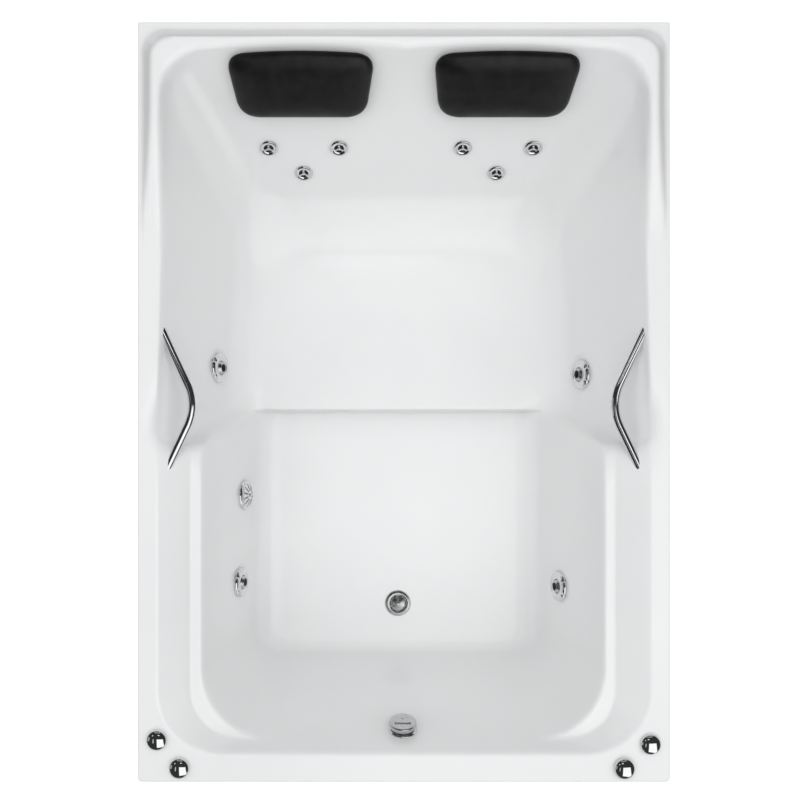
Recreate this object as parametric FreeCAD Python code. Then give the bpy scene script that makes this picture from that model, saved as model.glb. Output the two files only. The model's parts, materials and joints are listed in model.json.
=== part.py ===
import FreeCAD, Part
import math
import os
from collections import namedtuple

# A two-person jetted bathtub for building in. Millimetres, +Z up, +Y towards the head end, +X to the
# bather's left. The origin is on the floor, under the middle of the rim.

os.makedirs("parts", exist_ok=True)
V = FreeCAD.Vector
UP = V(0, 0, 1)
ALONG_X = V(1, 0, 0)
ALONG_Y = V(0, 1, 0)
SIDES = (-1, 1)

# Rim and shell
RIM_HALF_WIDTH = 630.0
RIM_HALF_LENGTH = 900.0
DECK_Z = 560.0
WALL = 6.0
LIP_DROP = 35.0
FOOT_CORNER_R = 8.0

# Raised head section round the top of the backrest
CREST_RISE = 45.0
CREST_START_Y = 348.0
CREST_FULL_Y = 720.0
FLANK_FOOT_INSET = 6.0
FLANK_TOP_INSET = 44.0
FLANK_HEAD_FOOT_INSET = 18.0
FLANK_HEAD_TOP_INSET = 38.0
FLANK_CORNER_R = 52.0

# Seat and backrest
SEAT_Z = 190.0
STEP_Y = -25.0
STEP_TOP_Y = -104.0
HEAD_HALF_WIDTH = 588.0
HEAD_LEAN = 0.404
HEAD_TAPER = 25.0
SEAT_FILLET = 110.0
BACK_PITCH = math.radians(52.0)
BACK_TOP_Y = 841.0
BACK_BLEND_R = 250.0
BACK_CORNER_R = 130.0
CREST_CORNER_R = 95.0
SEAT_FRONT_R = 28.0
ARCH_DIP = 15.0
ARCH_START_Z = 430.0
CREST_ROLL = 12.0

# Footwell and its side ledges
FLOOR_Z = 130.0
FOOT_DECK_WIDTH = 67.0
FOOT_DECK_Y = FOOT_DECK_WIDTH - RIM_HALF_LENGTH
FOOT_END_LEAN = 0.35
FOOT_END_FILLET = 30.0
LEDGE_DROP = 52.0
LEDGE_HALF_WIDTH = 487.0
LEDGE_WIDTH = 28.0
DECK_OPENING_HALF = 585.0
FOOT_LEAN = 0.297
FLOOR_FILLET = 70.0
FLOOR_CORNER_R = 50.0
LEDGE_CORNER_R = 170.0
LEDGE_EDGE_CORNER_R = 120.0
DECK_CORNER_R = 150.0
LEVELS = 6

# Base board, seat bearers, steel cradle and levelling feet
BOARD_THICKNESS = 18.0
BOARD_HALF_WIDTH = 400.0
BOARD_FOOT_Y = -655.0
BOARD_HEAD_Y = 385.0
BOARD_CORNER_R = 40.0
WASTE_NOTCH_R = 42.0
BEARER_WIDTH = 60.0
BEARER_X = 230.0
BEARER_MARGIN = 20.0
RAIL_X = 300.0
RAIL_WIDTH = 40.0
RAIL_HEIGHT = 30.0
RAIL_GAUGE = 2.5
RAIL_FOOT_Y = -680.0
RAIL_HEAD_Y = 860.0
CROSS_BAR_YS = (-470.0, 20.0, 695.0, 795.0)
FOOT_YS = (-600.0, 80.0, 745.0)
PAD_R = 30.0
PAD_HEIGHT = 12.0
STUD_R = 6.0
STUD_RISE = 14.0
LOCK_NUT_R = 11.0
LOCK_NUT_HEIGHT = 9.0

# Wall fittings: jets and suction share one body thread, gasket and nut
FITTING_BODY_R = 24.0
FITTING_BORE_R = 20.3
FITTING_FLANGE_R = 37.0
FITTING_FLANGE = 3.0
FITTING_DEPTH = 56.0
SUCTION_DEPTH = 68.0
FITTING_END_WALL = 4.0
GASKET_R = 36.0
GASKET = 2.0
NUT_R = 34.0
NUT_HEIGHT = 12.0
HOLE_CLEARANCE = 0.4
RUNNING = 0.05
MOVING_GAP = 0.4
PAD_MARGIN = 3.0
JET_RING_R = 40.0
JET_RING_HEIGHT = 12.0
NOZZLE_BALL_R = 19.9
NOZZLE_TUBE_R = 11.0
NOZZLE_BORE_R = 6.0
NOZZLE_REACH = 21.0
NOZZLE_REAR_TURN = 50.0
BARB_R = 7.0
BARB_BORE_R = 4.5
BARB_LENGTH = 22.0
BARB_SPACING = 26.0
HOSE_R = 9.5
HOSE_GAP = 8.0
HEAD_JET_LEFT_Y = 89.0
HEAD_JET_RIGHT_Y = 72.0
HEAD_JET_Z = 295.0
FOOT_JET_LEFT_Y = -473.0
FOOT_JET_RIGHT_Y = -484.0
FOOT_JET_Z = 285.0
SUCTION_Y = -247.0
SUCTION_Z = 255.0
SUCTION_DOME = 12.0
SUCTION_SLOTS = 12
SUCTION_POST = 20.0

# Back jets
BACK_JET_R = 24.0
BACK_JET_BODY_R = 15.5
BACK_JET_DEPTH = 45.0
BACK_JET_OUTER_X = 338.0
BACK_JET_INNER_X = 158.0
BACK_JET_UPPER_Y = 650.0
BACK_JET_LOWER_X = 252.0
BACK_JET_LOWER_Y = 600.0
SPRAY_WEB = 34.0
SMALL_NUT_R = 22.0
SMALL_NUT_HEIGHT = 9.0

# Water and air lines
HEAD_LINE_Y = 790.0
LINE_Z = 362.0
HEAD_LINE_R = 20.0
SIDE_LINE_X = 532.0
SIDE_LINE_R = 16.0
LINE_GAUGE = 2.5
SIDE_LINE_START_Y = 735.0
SIDE_LINE_END_Y = -530.0
AIR_LINE_X = 590.0
AIR_LINE_Z = 330.0
AIR_LINE_R = 10.0
AIR_LINE_GAUGE = 2.0
SUCTION_LINE_X = -478.0
SUCTION_LINE_R = 21.0

# Deck controls, placed from the rim's side and foot edges
CONTROL_EDGE = 34.0
CONTROL_LEFT_OUTER = (45.0 - RIM_HALF_WIDTH, 100.0 - RIM_HALF_LENGTH)
CONTROL_LEFT_INNER = (98.0 - RIM_HALF_WIDTH, CONTROL_EDGE - RIM_HALF_LENGTH)
CONTROL_RIGHT_OUTER = (RIM_HALF_WIDTH - 47.0, 90.0 - RIM_HALF_LENGTH)
CONTROL_RIGHT_INNER = (RIM_HALF_WIDTH - 109.0, CONTROL_EDGE - RIM_HALF_LENGTH)
KNOB_R = 24.5
KNOB_HEIGHT = 17.0
KNOB_WALL = 2.0
CONTROL_FLANGE = 3.0
SPINDLE_R = 6.0
SPINDLE_RISE = 10.0
CONTROL_DEPTH = 60.0
BUTTON_TRAVEL = 3.0

# Pump
PUMP_Y = 745.0
PUMP_Z = 205.0
VOLUTE_X = -235.0
VOLUTE_WIDTH = 52.0
VOLUTE_R = 76.0
VOLUTE_WALL = 5.0
IMPELLER_R = 50.0
MOTOR_X = -185.0
MOTOR_LENGTH = 215.0
MOTOR_R = 66.0
MOTOR_WALL = 5.0
FIN_COUNT = 24
FIN_HEIGHT = 6.0
FIN_CLEARANCE = 0.1
SHAFT_R = 8.0
FAN_R = 55.0
FAN_COVER_LENGTH = 46.0
BACK_PLATE = 8.0
DISCHARGE_R = 20.0
UNION_HEIGHT = 36.0

# Drain and overflow
DRAIN_Y = -558.0
DRAIN_FLANGE_R = 36.0
DRAIN_BARREL_R = 24.0
STOPPER_R = 20.5
WASTE_R = 20.0
WASTE_GAUGE = 2.5
WASTE_Z = 75.0
OUTLET_Y = -846.0
OUTLET_Z = 6.0
OVERFLOW_Z = 473.0
OVERFLOW_R = 36.0
DIAL_R = 34.0
DIAL_STAND = 12.0
DIAL_HEIGHT = 12.0
CABLE_R = 3.0

# Grab bars
BAR_R = 11.0
BAR_Z = 534.0
BAR_Y = -7.0
BAR_APEX_X = 504.0
BAR_BEND_R = 65.0
BAR_ANGLE = math.radians(24.5)
BAR_TAIL = 76.0
BAR_NUT_R = 16.5
BAR_NUT_HEIGHT = 12.0
BAR_NUT_FROM_WALL = 56.0

# Neck pillows
PILLOW_X = 244.0
PILLOW_Y = 773.0
PILLOW_WIDTH = 352.0
PILLOW_LENGTH = 172.0
PILLOW_BOW = 10.0
PILLOW_THICKNESS = 40.0
PILLOW_TAPER = 22.0
PILLOW_CORNER_R = 48.0
PILLOW_OFF_WALL = 7.0
PILLOW_WAIST = 0.3
PILLOW_TUCK = 0.13
PILLOW_CROWN = 0.62
SOFT_GAP = 0.3
CUP_R = 17.0
CUP_X = 85.0

CREST_Z = DECK_Z + CREST_RISE
DECK_UNDER = DECK_Z - WALL
BOARD_TOP = FLOOR_Z - WALL
BOARD_UNDER = BOARD_TOP - BOARD_THICKNESS
RAIL_UNDER = BOARD_UNDER - RAIL_HEIGHT
LEDGE_Z = DECK_Z - LEDGE_DROP

Level = namedtuple("Level", "z front_half back_half front back r_front r_back dip flat")


def box(x0, x1, y0, y1, z0, z1):
    return Part.makeBox(x1 - x0, y1 - y0, z1 - z0, V(x0, y0, z0))


def cylinder(radius, start, end):
    reach = end - start
    return Part.makeCylinder(radius, reach.Length, start, reach)


def tube(outer, bore, start, end):
    return cylinder(outer, start, end).cut(cylinder(bore, start, end))


def fused(shapes):
    return shapes[0].multiFuse(shapes[1:]).removeSplitter() if len(shapes) > 1 else shapes[0]


def save(name, *solids):
    shape = solids[0] if len(solids) == 1 else Part.makeCompound(list(solids))
    shape.exportStep("parts/" + name + ".step")


def spin(points):
    """A turned piece about Z, from a closed profile of (radius, height) points."""
    corners = [V(radius, 0, height) for radius, height in points]
    face = Part.Face(Part.makePolygon(corners + corners[:1]))
    return face.revolve(V(0, 0, 0), UP, 360)


def arc_points(centre, radius, start, end, steps):
    """Points along an arc of a turned profile; the angles are in degrees from the radial direction."""
    points = []
    for k in range(steps + 1):
        turn = math.radians(start + (end - start) * k / steps)
        points.append((centre[0] + radius * math.cos(turn), centre[1] + radius * math.sin(turn)))
    return points


def crown(radius, edge_z, top_z, steps=3):
    """A shallow domed top for a turned profile, from its edge to the axis."""
    points = []
    for k in range(steps + 1):
        turn = math.pi / 2 * k / steps
        points.append((radius * math.cos(turn), edge_z + (top_z - edge_z) * math.sin(turn)))
    points[-1] = (0, top_z)
    return points


def hexagon(radius, height, bore, start_z):
    """A hexagonal nut about Z, radius measured over its corners."""
    turns = [math.pi / 3 * k for k in range(7)]
    corners = [V(radius * math.cos(turn), radius * math.sin(turn), start_z) for turn in turns]
    blank = Part.Face(Part.makePolygon(corners)).extrude(V(0, 0, height))
    return blank.cut(Part.makeCylinder(bore, height, V(0, 0, start_z)))


def route(points, bend):
    """A wire of straight runs through the points, each corner rounded to the bend radius."""
    edges = []
    start = points[0]
    for before, corner, after in zip(points, points[1:], points[2:]):
        into = (corner - before).normalize()
        away = (after - corner).normalize()
        half_turn = into.getAngle(away) / 2
        setback = bend * math.tan(half_turn)
        first = corner - into * setback
        last = corner + away * setback
        toward = (away - into).normalize()
        middle = corner + toward * (bend / math.cos(half_turn) - bend)
        edges.append(Part.makeLine(start, first))
        edges.append(Part.Arc(first, middle, last).toShape())
        start = last
    edges.append(Part.makeLine(start, points[-1]))
    return Part.Wire(edges)


def rod(points, bend, radius):
    path = route(points, bend)
    circle = Part.Wire([Part.makeCircle(radius, points[0], points[1] - points[0])])
    return path.makePipeShell([circle], True, False)


def pipe(points, bend, outer, gauge):
    return rod(points, bend, outer).cut(rod(points, bend, outer - gauge))


# ---------------------------------------------------------------- basin surfaces

def filleted(z, floor_z, radius, lean, wall_at):
    """Distance from the middle of a wall that leans outwards and meets the floor in a fillet."""
    centre_z = floor_z + radius
    centre = wall_at(centre_z) - radius * math.hypot(1, lean)
    tangent_z = centre_z - radius * lean / math.hypot(1, lean)
    if z >= tangent_z:
        return wall_at(z)
    return centre + math.sqrt(max(radius ** 2 - (centre_z - z) ** 2, 0))


def head_wall(z):
    return HEAD_HALF_WIDTH - HEAD_LEAN * (DECK_Z - z)


def head_half(z):
    return filleted(z, SEAT_Z, SEAT_FILLET, HEAD_LEAN, head_wall)


def back_line(z):
    return BACK_TOP_Y - (CREST_Z - z) / math.tan(BACK_PITCH)


def backrest_y(z):
    """Place of the backrest at a height: a straight slope that turns into the seat through a large blend."""
    blend_top = SEAT_Z + BACK_BLEND_R * (1 - math.cos(BACK_PITCH))
    if z >= blend_top:
        return back_line(z)
    seat_end = back_line(blend_top) - BACK_BLEND_R * math.sin(BACK_PITCH)
    return seat_end + math.sqrt(BACK_BLEND_R ** 2 - (BACK_BLEND_R - (z - SEAT_Z)) ** 2)


def foot_wall(z):
    return LEDGE_HALF_WIDTH - FOOT_LEAN * (LEDGE_Z - z)


def foot_half(z):
    return filleted(z, FLOOR_Z, FLOOR_FILLET, FOOT_LEAN, foot_wall)


def foot_end_wall(z):
    return -FOOT_DECK_Y - FOOT_END_LEAN * (DECK_Z - z)


def foot_end(z):
    return -filleted(z, FLOOR_Z, FOOT_END_FILLET, FOOT_END_LEAN, foot_end_wall)


def ramp(z, low_z, high_z, low, high):
    share = min(max((z - low_z) / (high_z - low_z), 0), 1)
    return low + (high - low) * share


def section(level):
    """The basin's outline at one height: a rounded rectangle whose head side is two shallow arches."""
    corner_y = level.back - level.dip
    arch_x = level.back_half - level.r_back
    bulge = math.sqrt(0.5)
    edges = []
    for side in (1, -1):
        front_corner = V(side * (level.front_half - level.r_front), level.front, level.z)
        front_side = V(side * level.front_half, level.front + level.r_front, level.z)
        front_mid = V(side * (level.front_half - level.r_front * (1 - bulge)),
                      level.front + level.r_front * (1 - bulge), level.z)
        back_side = V(side * level.back_half, corner_y - level.r_back, level.z)
        back_corner = V(side * arch_x, corner_y, level.z)
        back_mid = V(side * (level.back_half - level.r_back * (1 - bulge)),
                     corner_y - level.r_back * (1 - bulge), level.z)
        arch_mid = V(side * arch_x / 2, level.back, level.z)
        cusp = V(0, corner_y, level.z)
        half = [
            Part.Arc(front_corner, front_mid, front_side).toShape(),
            Part.makeLine(front_side, back_side),
            Part.Arc(back_side, back_mid, back_corner).toShape(),
            Part.Arc(back_corner, arch_mid, cusp).toShape(),
        ]
        if side == 1:
            edges += half
        else:
            edges += [edge.reversed() for edge in reversed(half)]
    left_corner = V(-(level.front_half - level.r_front), level.front, level.z)
    right_corner = V(level.front_half - level.r_front, level.front, level.z)
    edges.append(Part.makeLine(left_corner, right_corner))
    return Part.Wire(Part.__sortEdges__(edges))


def grown(level):
    """The same level on the outer face of the shell."""
    spread = WALL * (1 - 0.6 * level.flat)
    slope_spread = spread / math.sin(BACK_PITCH)
    return level._replace(
        z=level.z - WALL * level.flat,
        front_half=level.front_half + spread,
        back_half=level.back_half + spread,
        front=level.front - spread,
        back=level.back + slope_spread,
        r_front=level.r_front + spread,
        r_back=level.r_back + spread)


def blend_heights(low, high):
    return [low + (high - low) * (k / LEVELS) ** 2 for k in range(LEVELS + 1)]


def head_level(z):
    blend_top = SEAT_Z + BACK_BLEND_R * (1 - math.cos(BACK_PITCH))
    half = head_half(z)
    roll_start = CREST_Z - CREST_ROLL
    rise = min(max(z - roll_start, 0), CREST_ROLL)
    roll = CREST_ROLL - math.sqrt(CREST_ROLL ** 2 - rise ** 2)
    arch = max(z - ARCH_START_Z, 0) / (CREST_Z - ARCH_START_Z)
    # above the deck the side walls rise upright to the crest
    upright = max(z - DECK_Z, 0) * HEAD_LEAN
    return Level(
        z=z,
        front_half=half - upright,
        back_half=half - HEAD_TAPER - upright + roll,
        front=ramp(z, SEAT_Z, LEDGE_Z, STEP_Y, STEP_TOP_Y),
        back=backrest_y(min(z, CREST_Z)) + roll,
        r_front=SEAT_FRONT_R,
        r_back=ramp(z, blend_top, CREST_Z, BACK_CORNER_R, CREST_CORNER_R),
        dip=0.5 + ARCH_DIP * arch ** 2,
        flat=1 - ramp(z, SEAT_Z, blend_top, 0, 1))


def head_levels():
    blend_top = SEAT_Z + BACK_BLEND_R * (1 - math.cos(BACK_PITCH))
    heights = blend_heights(SEAT_Z, blend_top)
    heights += [ARCH_START_Z, LEDGE_Z, DECK_Z, CREST_Z - CREST_ROLL, CREST_Z - CREST_ROLL * 0.3]
    return [head_level(z) for z in heights]


def foot_level(z):
    fillet_top = FLOOR_Z + FLOOR_FILLET * (1 - FOOT_LEAN)
    fillet_corner_r = FLOOR_CORNER_R + FLOOR_FILLET / 2
    if z > fillet_top:
        r_front = ramp(z, fillet_top, LEDGE_Z, fillet_corner_r, LEDGE_CORNER_R)
    else:
        r_front = ramp(z, FLOOR_Z, fillet_top, FLOOR_CORNER_R, fillet_corner_r)
    return Level(
        z=z,
        front_half=foot_half(z),
        back_half=foot_half(z),
        front=foot_end(z),
        back=STEP_Y,
        r_front=r_front,
        r_back=FLOOR_CORNER_R / 2,
        dip=0.5,
        flat=1 - ramp(z, FLOOR_Z, fillet_top, 0, 1))


def ledge_level(z):
    """Above the wall's top edge the basin steps out over a narrow ledge and curves up to the deck."""
    rise = (z - LEDGE_Z) / (DECK_Z - LEDGE_Z)
    ledge_half = LEDGE_HALF_WIDTH + LEDGE_WIDTH
    half = ledge_half + (DECK_OPENING_HALF - ledge_half) * math.sqrt(rise)
    return foot_level(z)._replace(
        front_half=half,
        back_half=half,
        front=foot_end_wall(z) * -1,
        back=-STEP_Y,
        r_front=LEDGE_EDGE_CORNER_R + (DECK_CORNER_R - LEDGE_EDGE_CORNER_R) * rise)


def foot_levels():
    fillet_top = FLOOR_Z + FLOOR_FILLET * (1 - FOOT_LEAN)
    levels = [foot_level(z) for z in blend_heights(FLOOR_Z, fillet_top)]
    levels.append(foot_level(SEAT_Z - WALL))
    levels.append(foot_level(SEAT_Z + WALL)._replace(back=-STEP_Y))
    levels.append(foot_level(LEDGE_Z)._replace(back=-STEP_Y))
    for share in (0.04, 0.25, 0.6, 1.0):
        levels.append(ledge_level(LEDGE_Z + LEDGE_DROP * share))
    return levels


def basin(levels, top_z):
    """The basin's hollow as a solid, carried straight up past the rim."""
    wires = [section(level) for level in levels]
    wires.append(section(levels[-1]._replace(z=top_z)))
    return Part.makeLoft(wires, True, True)


# ---------------------------------------------------------------- shell

def flank_outline(z, inset, head_inset, radius):
    half = RIM_HALF_WIDTH - inset
    head = RIM_HALF_LENGTH - head_inset
    level = Level(z, half, half, CREST_START_Y - 60, head + 0.5, 5.0, radius, 0.5, 0)
    return section(level)


def crest_profile(top_z, base_z):
    """Side view of the raised head section: its top swells up from the deck in an S-curve."""
    run = (CREST_FULL_Y - CREST_START_Y) / 2
    rise = (top_z - (DECK_Z - (CREST_Z - top_z))) / 2
    radius = (run ** 2 + rise ** 2) / (2 * rise)
    swing = math.asin(run / radius) / 2
    start_z = top_z - CREST_RISE
    start = V(0, CREST_START_Y, start_z)
    first_via = V(0, CREST_START_Y + radius * math.sin(swing), start_z + radius * (1 - math.cos(swing)))
    middle = V(0, CREST_START_Y + run, start_z + rise)
    last_via = V(0, CREST_FULL_Y - radius * math.sin(swing), top_z - radius * (1 - math.cos(swing)))
    full = V(0, CREST_FULL_Y, top_z)
    head = V(0, RIM_HALF_LENGTH, top_z)
    head_base = V(0, RIM_HALF_LENGTH, base_z)
    start_base = V(0, CREST_START_Y, base_z)
    edges = [
        Part.Arc(start, first_via, middle).toShape(),
        Part.Arc(middle, last_via, full).toShape(),
        Part.makeLine(full, head),
        Part.makeLine(head, head_base),
        Part.makeLine(head_base, start_base),
        Part.makeLine(start_base, start),
    ]
    slab = Part.Face(Part.Wire(edges)).extrude(V(2 * RIM_HALF_WIDTH, 0, 0))
    slab.translate(V(-RIM_HALF_WIDTH, 0, 0))
    return slab


def raised_block(skin):
    """The raised head section as a solid; skin is how far it is drawn in from the outer surface."""
    spread = skin * 1.4
    base_z = DECK_Z if skin == 0 else DECK_UNDER - 1
    outlines = [
        flank_outline(base_z, FLANK_FOOT_INSET + spread, FLANK_HEAD_FOOT_INSET + spread, FLANK_CORNER_R),
        flank_outline(CREST_Z, FLANK_TOP_INSET + spread, FLANK_HEAD_TOP_INSET + spread, FLANK_CORNER_R),
    ]
    flanks = Part.makeLoft(outlines, True, True)
    return flanks.common(crest_profile(CREST_Z - skin, base_z - LIP_DROP))


def rim_outline(inset):
    """The deck's outline: square at the head, lightly rounded at the foot."""
    half = RIM_HALF_WIDTH - inset
    slab = box(-half, half, inset - RIM_HALF_LENGTH, RIM_HALF_LENGTH - inset, DECK_Z - LIP_DROP, DECK_Z)
    corners = [e for e in slab.Edges if e.BoundBox.ZLength > LIP_DROP - 1 and e.BoundBox.YMax < 0]
    return slab.makeFillet(FOOT_CORNER_R - inset / 2, corners)


def deck_and_lip():
    below = box(-RIM_HALF_WIDTH, RIM_HALF_WIDTH, -RIM_HALF_LENGTH, RIM_HALF_LENGTH, 0, DECK_UNDER)
    return rim_outline(0).cut(rim_outline(WALL).common(below))


def wall_place(side, y, z, half, lean):
    """Placement on a side wall: local Z points into the basin, local Y down the wall."""
    inward = V(-side, 0, lean).normalize()
    along = V(0, side, 0)
    turn = FreeCAD.Rotation(along, inward.cross(along), inward, "ZXY")
    return FreeCAD.Placement(V(side * half, y, z), turn)


def head_jet_place(side, y):
    taper = HEAD_TAPER * (y - STEP_TOP_Y) / (BACK_TOP_Y - STEP_TOP_Y)
    return wall_place(side, y, HEAD_JET_Z, head_half(HEAD_JET_Z) - taper, HEAD_LEAN)


def foot_jet_place(side, y):
    return wall_place(side, y, FOOT_JET_Z, foot_half(FOOT_JET_Z), FOOT_LEAN)


JET_PLACES = {
    "head_left": head_jet_place(-1, HEAD_JET_LEFT_Y),
    "head_right": head_jet_place(1, HEAD_JET_RIGHT_Y),
    "foot_left": foot_jet_place(-1, FOOT_JET_LEFT_Y),
    "foot_right": foot_jet_place(1, FOOT_JET_RIGHT_Y),
}
SUCTION_PLACE = wall_place(-1, SUCTION_Y, SUCTION_Z, foot_half(SUCTION_Z), FOOT_LEAN)


def back_place(x, y):
    """Placement on the backrest's slope: local Z points into the basin, local Y down the slope."""
    z = CREST_Z - (BACK_TOP_Y - y) * math.tan(BACK_PITCH)
    inward = V(0, -math.sin(BACK_PITCH), math.cos(BACK_PITCH))
    return FreeCAD.Placement(V(x, y, z), FreeCAD.Rotation(ALONG_X, inward.cross(ALONG_X), inward, "ZXY"))


BACK_JET_PLACES = []
for jet_x in (-BACK_JET_OUTER_X, -BACK_JET_INNER_X, BACK_JET_INNER_X, BACK_JET_OUTER_X):
    BACK_JET_PLACES.append(back_place(jet_x, BACK_JET_UPPER_Y))
for jet_x in (-BACK_JET_LOWER_X, BACK_JET_LOWER_X):
    BACK_JET_PLACES.append(back_place(jet_x, BACK_JET_LOWER_Y))

END_NORMAL = V(0, 1, FOOT_END_LEAN).normalize()
OVERFLOW_PLACE = FreeCAD.Placement(
    V(0, -foot_end_wall(OVERFLOW_Z), OVERFLOW_Z),
    FreeCAD.Rotation(ALONG_X, END_NORMAL.cross(ALONG_X), END_NORMAL, "ZXY"))

DECK_CONTROLS = (CONTROL_LEFT_OUTER, CONTROL_LEFT_INNER, CONTROL_RIGHT_OUTER, CONTROL_RIGHT_INNER)


def at(shape, place):
    moved = shape.copy()
    moved.Placement = place.multiply(shape.Placement)
    return moved


def bar_points(side):
    """Corner points of a grab bar: its two ends behind the wall and the virtual apex between them."""
    wall_x = head_wall(BAR_Z) - (HEAD_HALF_WIDTH - DECK_OPENING_HALF)
    apex_x = BAR_APEX_X - BAR_BEND_R * (1 / math.cos(BAR_ANGLE) - 1)
    reach_y = (wall_x - apex_x) / math.tan(BAR_ANGLE)
    tail_x = BAR_TAIL * math.sin(BAR_ANGLE)
    tail_y = BAR_TAIL * math.cos(BAR_ANGLE)
    ends = [V(side * (wall_x + tail_x), BAR_Y + way * (reach_y + tail_y), BAR_Z) for way in (1, -1)]
    return [ends[0], V(side * apex_x, BAR_Y, BAR_Z), ends[1]]


def seat_pad(radius):
    """Flat seat moulded behind a fitting, and the spot faces before and behind it."""
    pad = Part.makeCylinder(radius + PAD_MARGIN, WALL, V(0, 0, -WALL))
    front = Part.makeCylinder(radius + PAD_MARGIN, WALL, V(0, 0, 0))
    rear = Part.makeCylinder(radius, WALL, V(0, 0, -2 * WALL))
    return pad, front.fuse(rear)


def bath_shell():
    top_z = CREST_Z + 20
    hollow = basin(head_levels(), top_z).fuse(basin(foot_levels(), top_z))
    outer_head = basin([grown(level) for level in head_levels()], top_z)
    outer_foot = basin([grown(level) for level in foot_levels()], top_z)
    below_deck = box(-RIM_HALF_WIDTH, RIM_HALF_WIDTH, -RIM_HALF_LENGTH, RIM_HALF_LENGTH, 0, DECK_Z)
    under_skin = below_deck.fuse(raised_block(0))
    body = outer_head.fuse(outer_foot).common(under_skin)
    raised_skin = raised_block(0)
    raised_hollow = raised_block(WALL)
    rim = deck_and_lip().fuse(raised_skin).cut(raised_hollow)
    shell = rim.fuse(body).cut(hollow)
    seats = [(place, FITTING_FLANGE_R + PAD_MARGIN) for place in list(JET_PLACES.values()) + [SUCTION_PLACE]]
    seats += [(place, BACK_JET_R) for place in BACK_JET_PLACES]
    seats.append((OVERFLOW_PLACE, OVERFLOW_R))
    pads = []
    faces = []
    for place, radius in seats:
        pad, face = seat_pad(radius)
        pads.append(at(pad, place))
        faces.append(at(face, place))
    shell = shell.multiFuse(pads).cut(Part.makeCompound(faces))
    holes = []
    for place in list(JET_PLACES.values()) + [SUCTION_PLACE, OVERFLOW_PLACE]:
        holes.append(at(through_hole(FITTING_BODY_R), place))
    for place in BACK_JET_PLACES:
        holes.append(at(through_hole(BACK_JET_BODY_R), place))
    for x, y in DECK_CONTROLS:
        on_deck = FreeCAD.Placement(V(x, y, DECK_Z), FreeCAD.Rotation())
        holes.append(at(through_hole(BACK_JET_BODY_R), on_deck))
    on_floor = FreeCAD.Placement(V(0, DRAIN_Y, FLOOR_Z), FreeCAD.Rotation())
    holes.append(at(through_hole(DRAIN_BARREL_R), on_floor))
    for side in SIDES:
        holes.append(rod(bar_points(side), BAR_BEND_R, BAR_R + HOLE_CLEARANCE))
    return shell.cut(Part.makeCompound(holes))


def through_hole(radius):
    return Part.makeCylinder(radius + HOLE_CLEARANCE, 3 * WALL, V(0, 0, -2 * WALL))


# ---------------------------------------------------------------- base, cradle and feet

def base_board():
    """Stiffening board under the footwell and the seat, notched from its foot edge to round the drain."""
    board = box(-BOARD_HALF_WIDTH, BOARD_HALF_WIDTH, BOARD_FOOT_Y, BOARD_HEAD_Y, BOARD_UNDER, BOARD_TOP)
    edges = [e for e in board.Edges if e.BoundBox.ZLength > BOARD_THICKNESS - 1]
    board = board.makeFillet(BOARD_CORNER_R, edges)
    notch = Part.makeCylinder(WASTE_NOTCH_R, BOARD_THICKNESS, V(0, DRAIN_Y, BOARD_UNDER))
    mouth = box(-WASTE_NOTCH_R, WASTE_NOTCH_R, BOARD_FOOT_Y, DRAIN_Y, BOARD_UNDER, BOARD_TOP)
    return board.cut(notch.fuse(mouth))


def seat_bearers():
    front = STEP_Y + WALL + BEARER_MARGIN
    bearers = []
    for side in SIDES:
        x = side * BEARER_X
        block = box(x - BEARER_WIDTH / 2, x + BEARER_WIDTH / 2, front, BOARD_HEAD_Y - BEARER_MARGIN,
                    BOARD_TOP, SEAT_Z - WALL)
        bearers.append(block)
    return bearers


def box_section(x0, x1, y0, y1, along_y):
    """One length of the cradle's rectangular steel tube."""
    outer = box(x0, x1, y0, y1, RAIL_UNDER, BOARD_UNDER)
    inner_low = RAIL_UNDER + RAIL_GAUGE
    inner_high = BOARD_UNDER - RAIL_GAUGE
    if along_y:
        return outer.cut(box(x0 + RAIL_GAUGE, x1 - RAIL_GAUGE, y0, y1, inner_low, inner_high))
    return outer.cut(box(x0, x1, y0 + RAIL_GAUGE, y1 - RAIL_GAUGE, inner_low, inner_high))


def steel_cradle():
    half = RAIL_WIDTH / 2
    tubes = []
    for side in SIDES:
        x = side * RAIL_X
        tubes.append(box_section(x - half, x + half, RAIL_FOOT_Y, RAIL_HEAD_Y, True))
    for y in CROSS_BAR_YS:
        tubes.append(box_section(half - RAIL_X, RAIL_X - half, y - half, y + half, False))
    cradle = fused(tubes)
    holes = [Part.makeCylinder(STUD_R, RAIL_HEIGHT / 2, V(x, y, RAIL_UNDER)) for x, y in foot_spots()]
    return cradle.cut(Part.makeCompound(holes))


def foot_spots():
    return [(side * RAIL_X, y) for side in SIDES for y in FOOT_YS]


def foot_pad(x, y):
    pad = spin([(0, 0), (PAD_R, 0), (PAD_R, PAD_HEIGHT * 0.4),
                (PAD_R * 0.7, PAD_HEIGHT * 0.62), (PAD_R * 0.4, PAD_HEIGHT), (0, PAD_HEIGHT)])
    pad = pad.cut(Part.makeCylinder(STUD_R, PAD_HEIGHT / 2, V(0, 0, PAD_HEIGHT / 2)))
    pad.translate(V(x, y, 0))
    return pad


def levelling_stud(x, y):
    return Part.makeCylinder(STUD_R, RAIL_UNDER + STUD_RISE - PAD_HEIGHT / 2, V(x, y, PAD_HEIGHT / 2))


def lock_nuts(x, y):
    nuts = []
    for start_z in (RAIL_UNDER - LOCK_NUT_HEIGHT, PAD_HEIGHT):
        nut = hexagon(LOCK_NUT_R, LOCK_NUT_HEIGHT, STUD_R, start_z)
        nut.translate(V(x, y, 0))
        nuts.append(nut)
    return nuts


# ---------------------------------------------------------------- jets and suction

def fitting_gasket(place):
    ring = tube(GASKET_R, FITTING_BODY_R, V(0, 0, 0), V(0, 0, GASKET))
    return at(ring, place)


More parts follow.
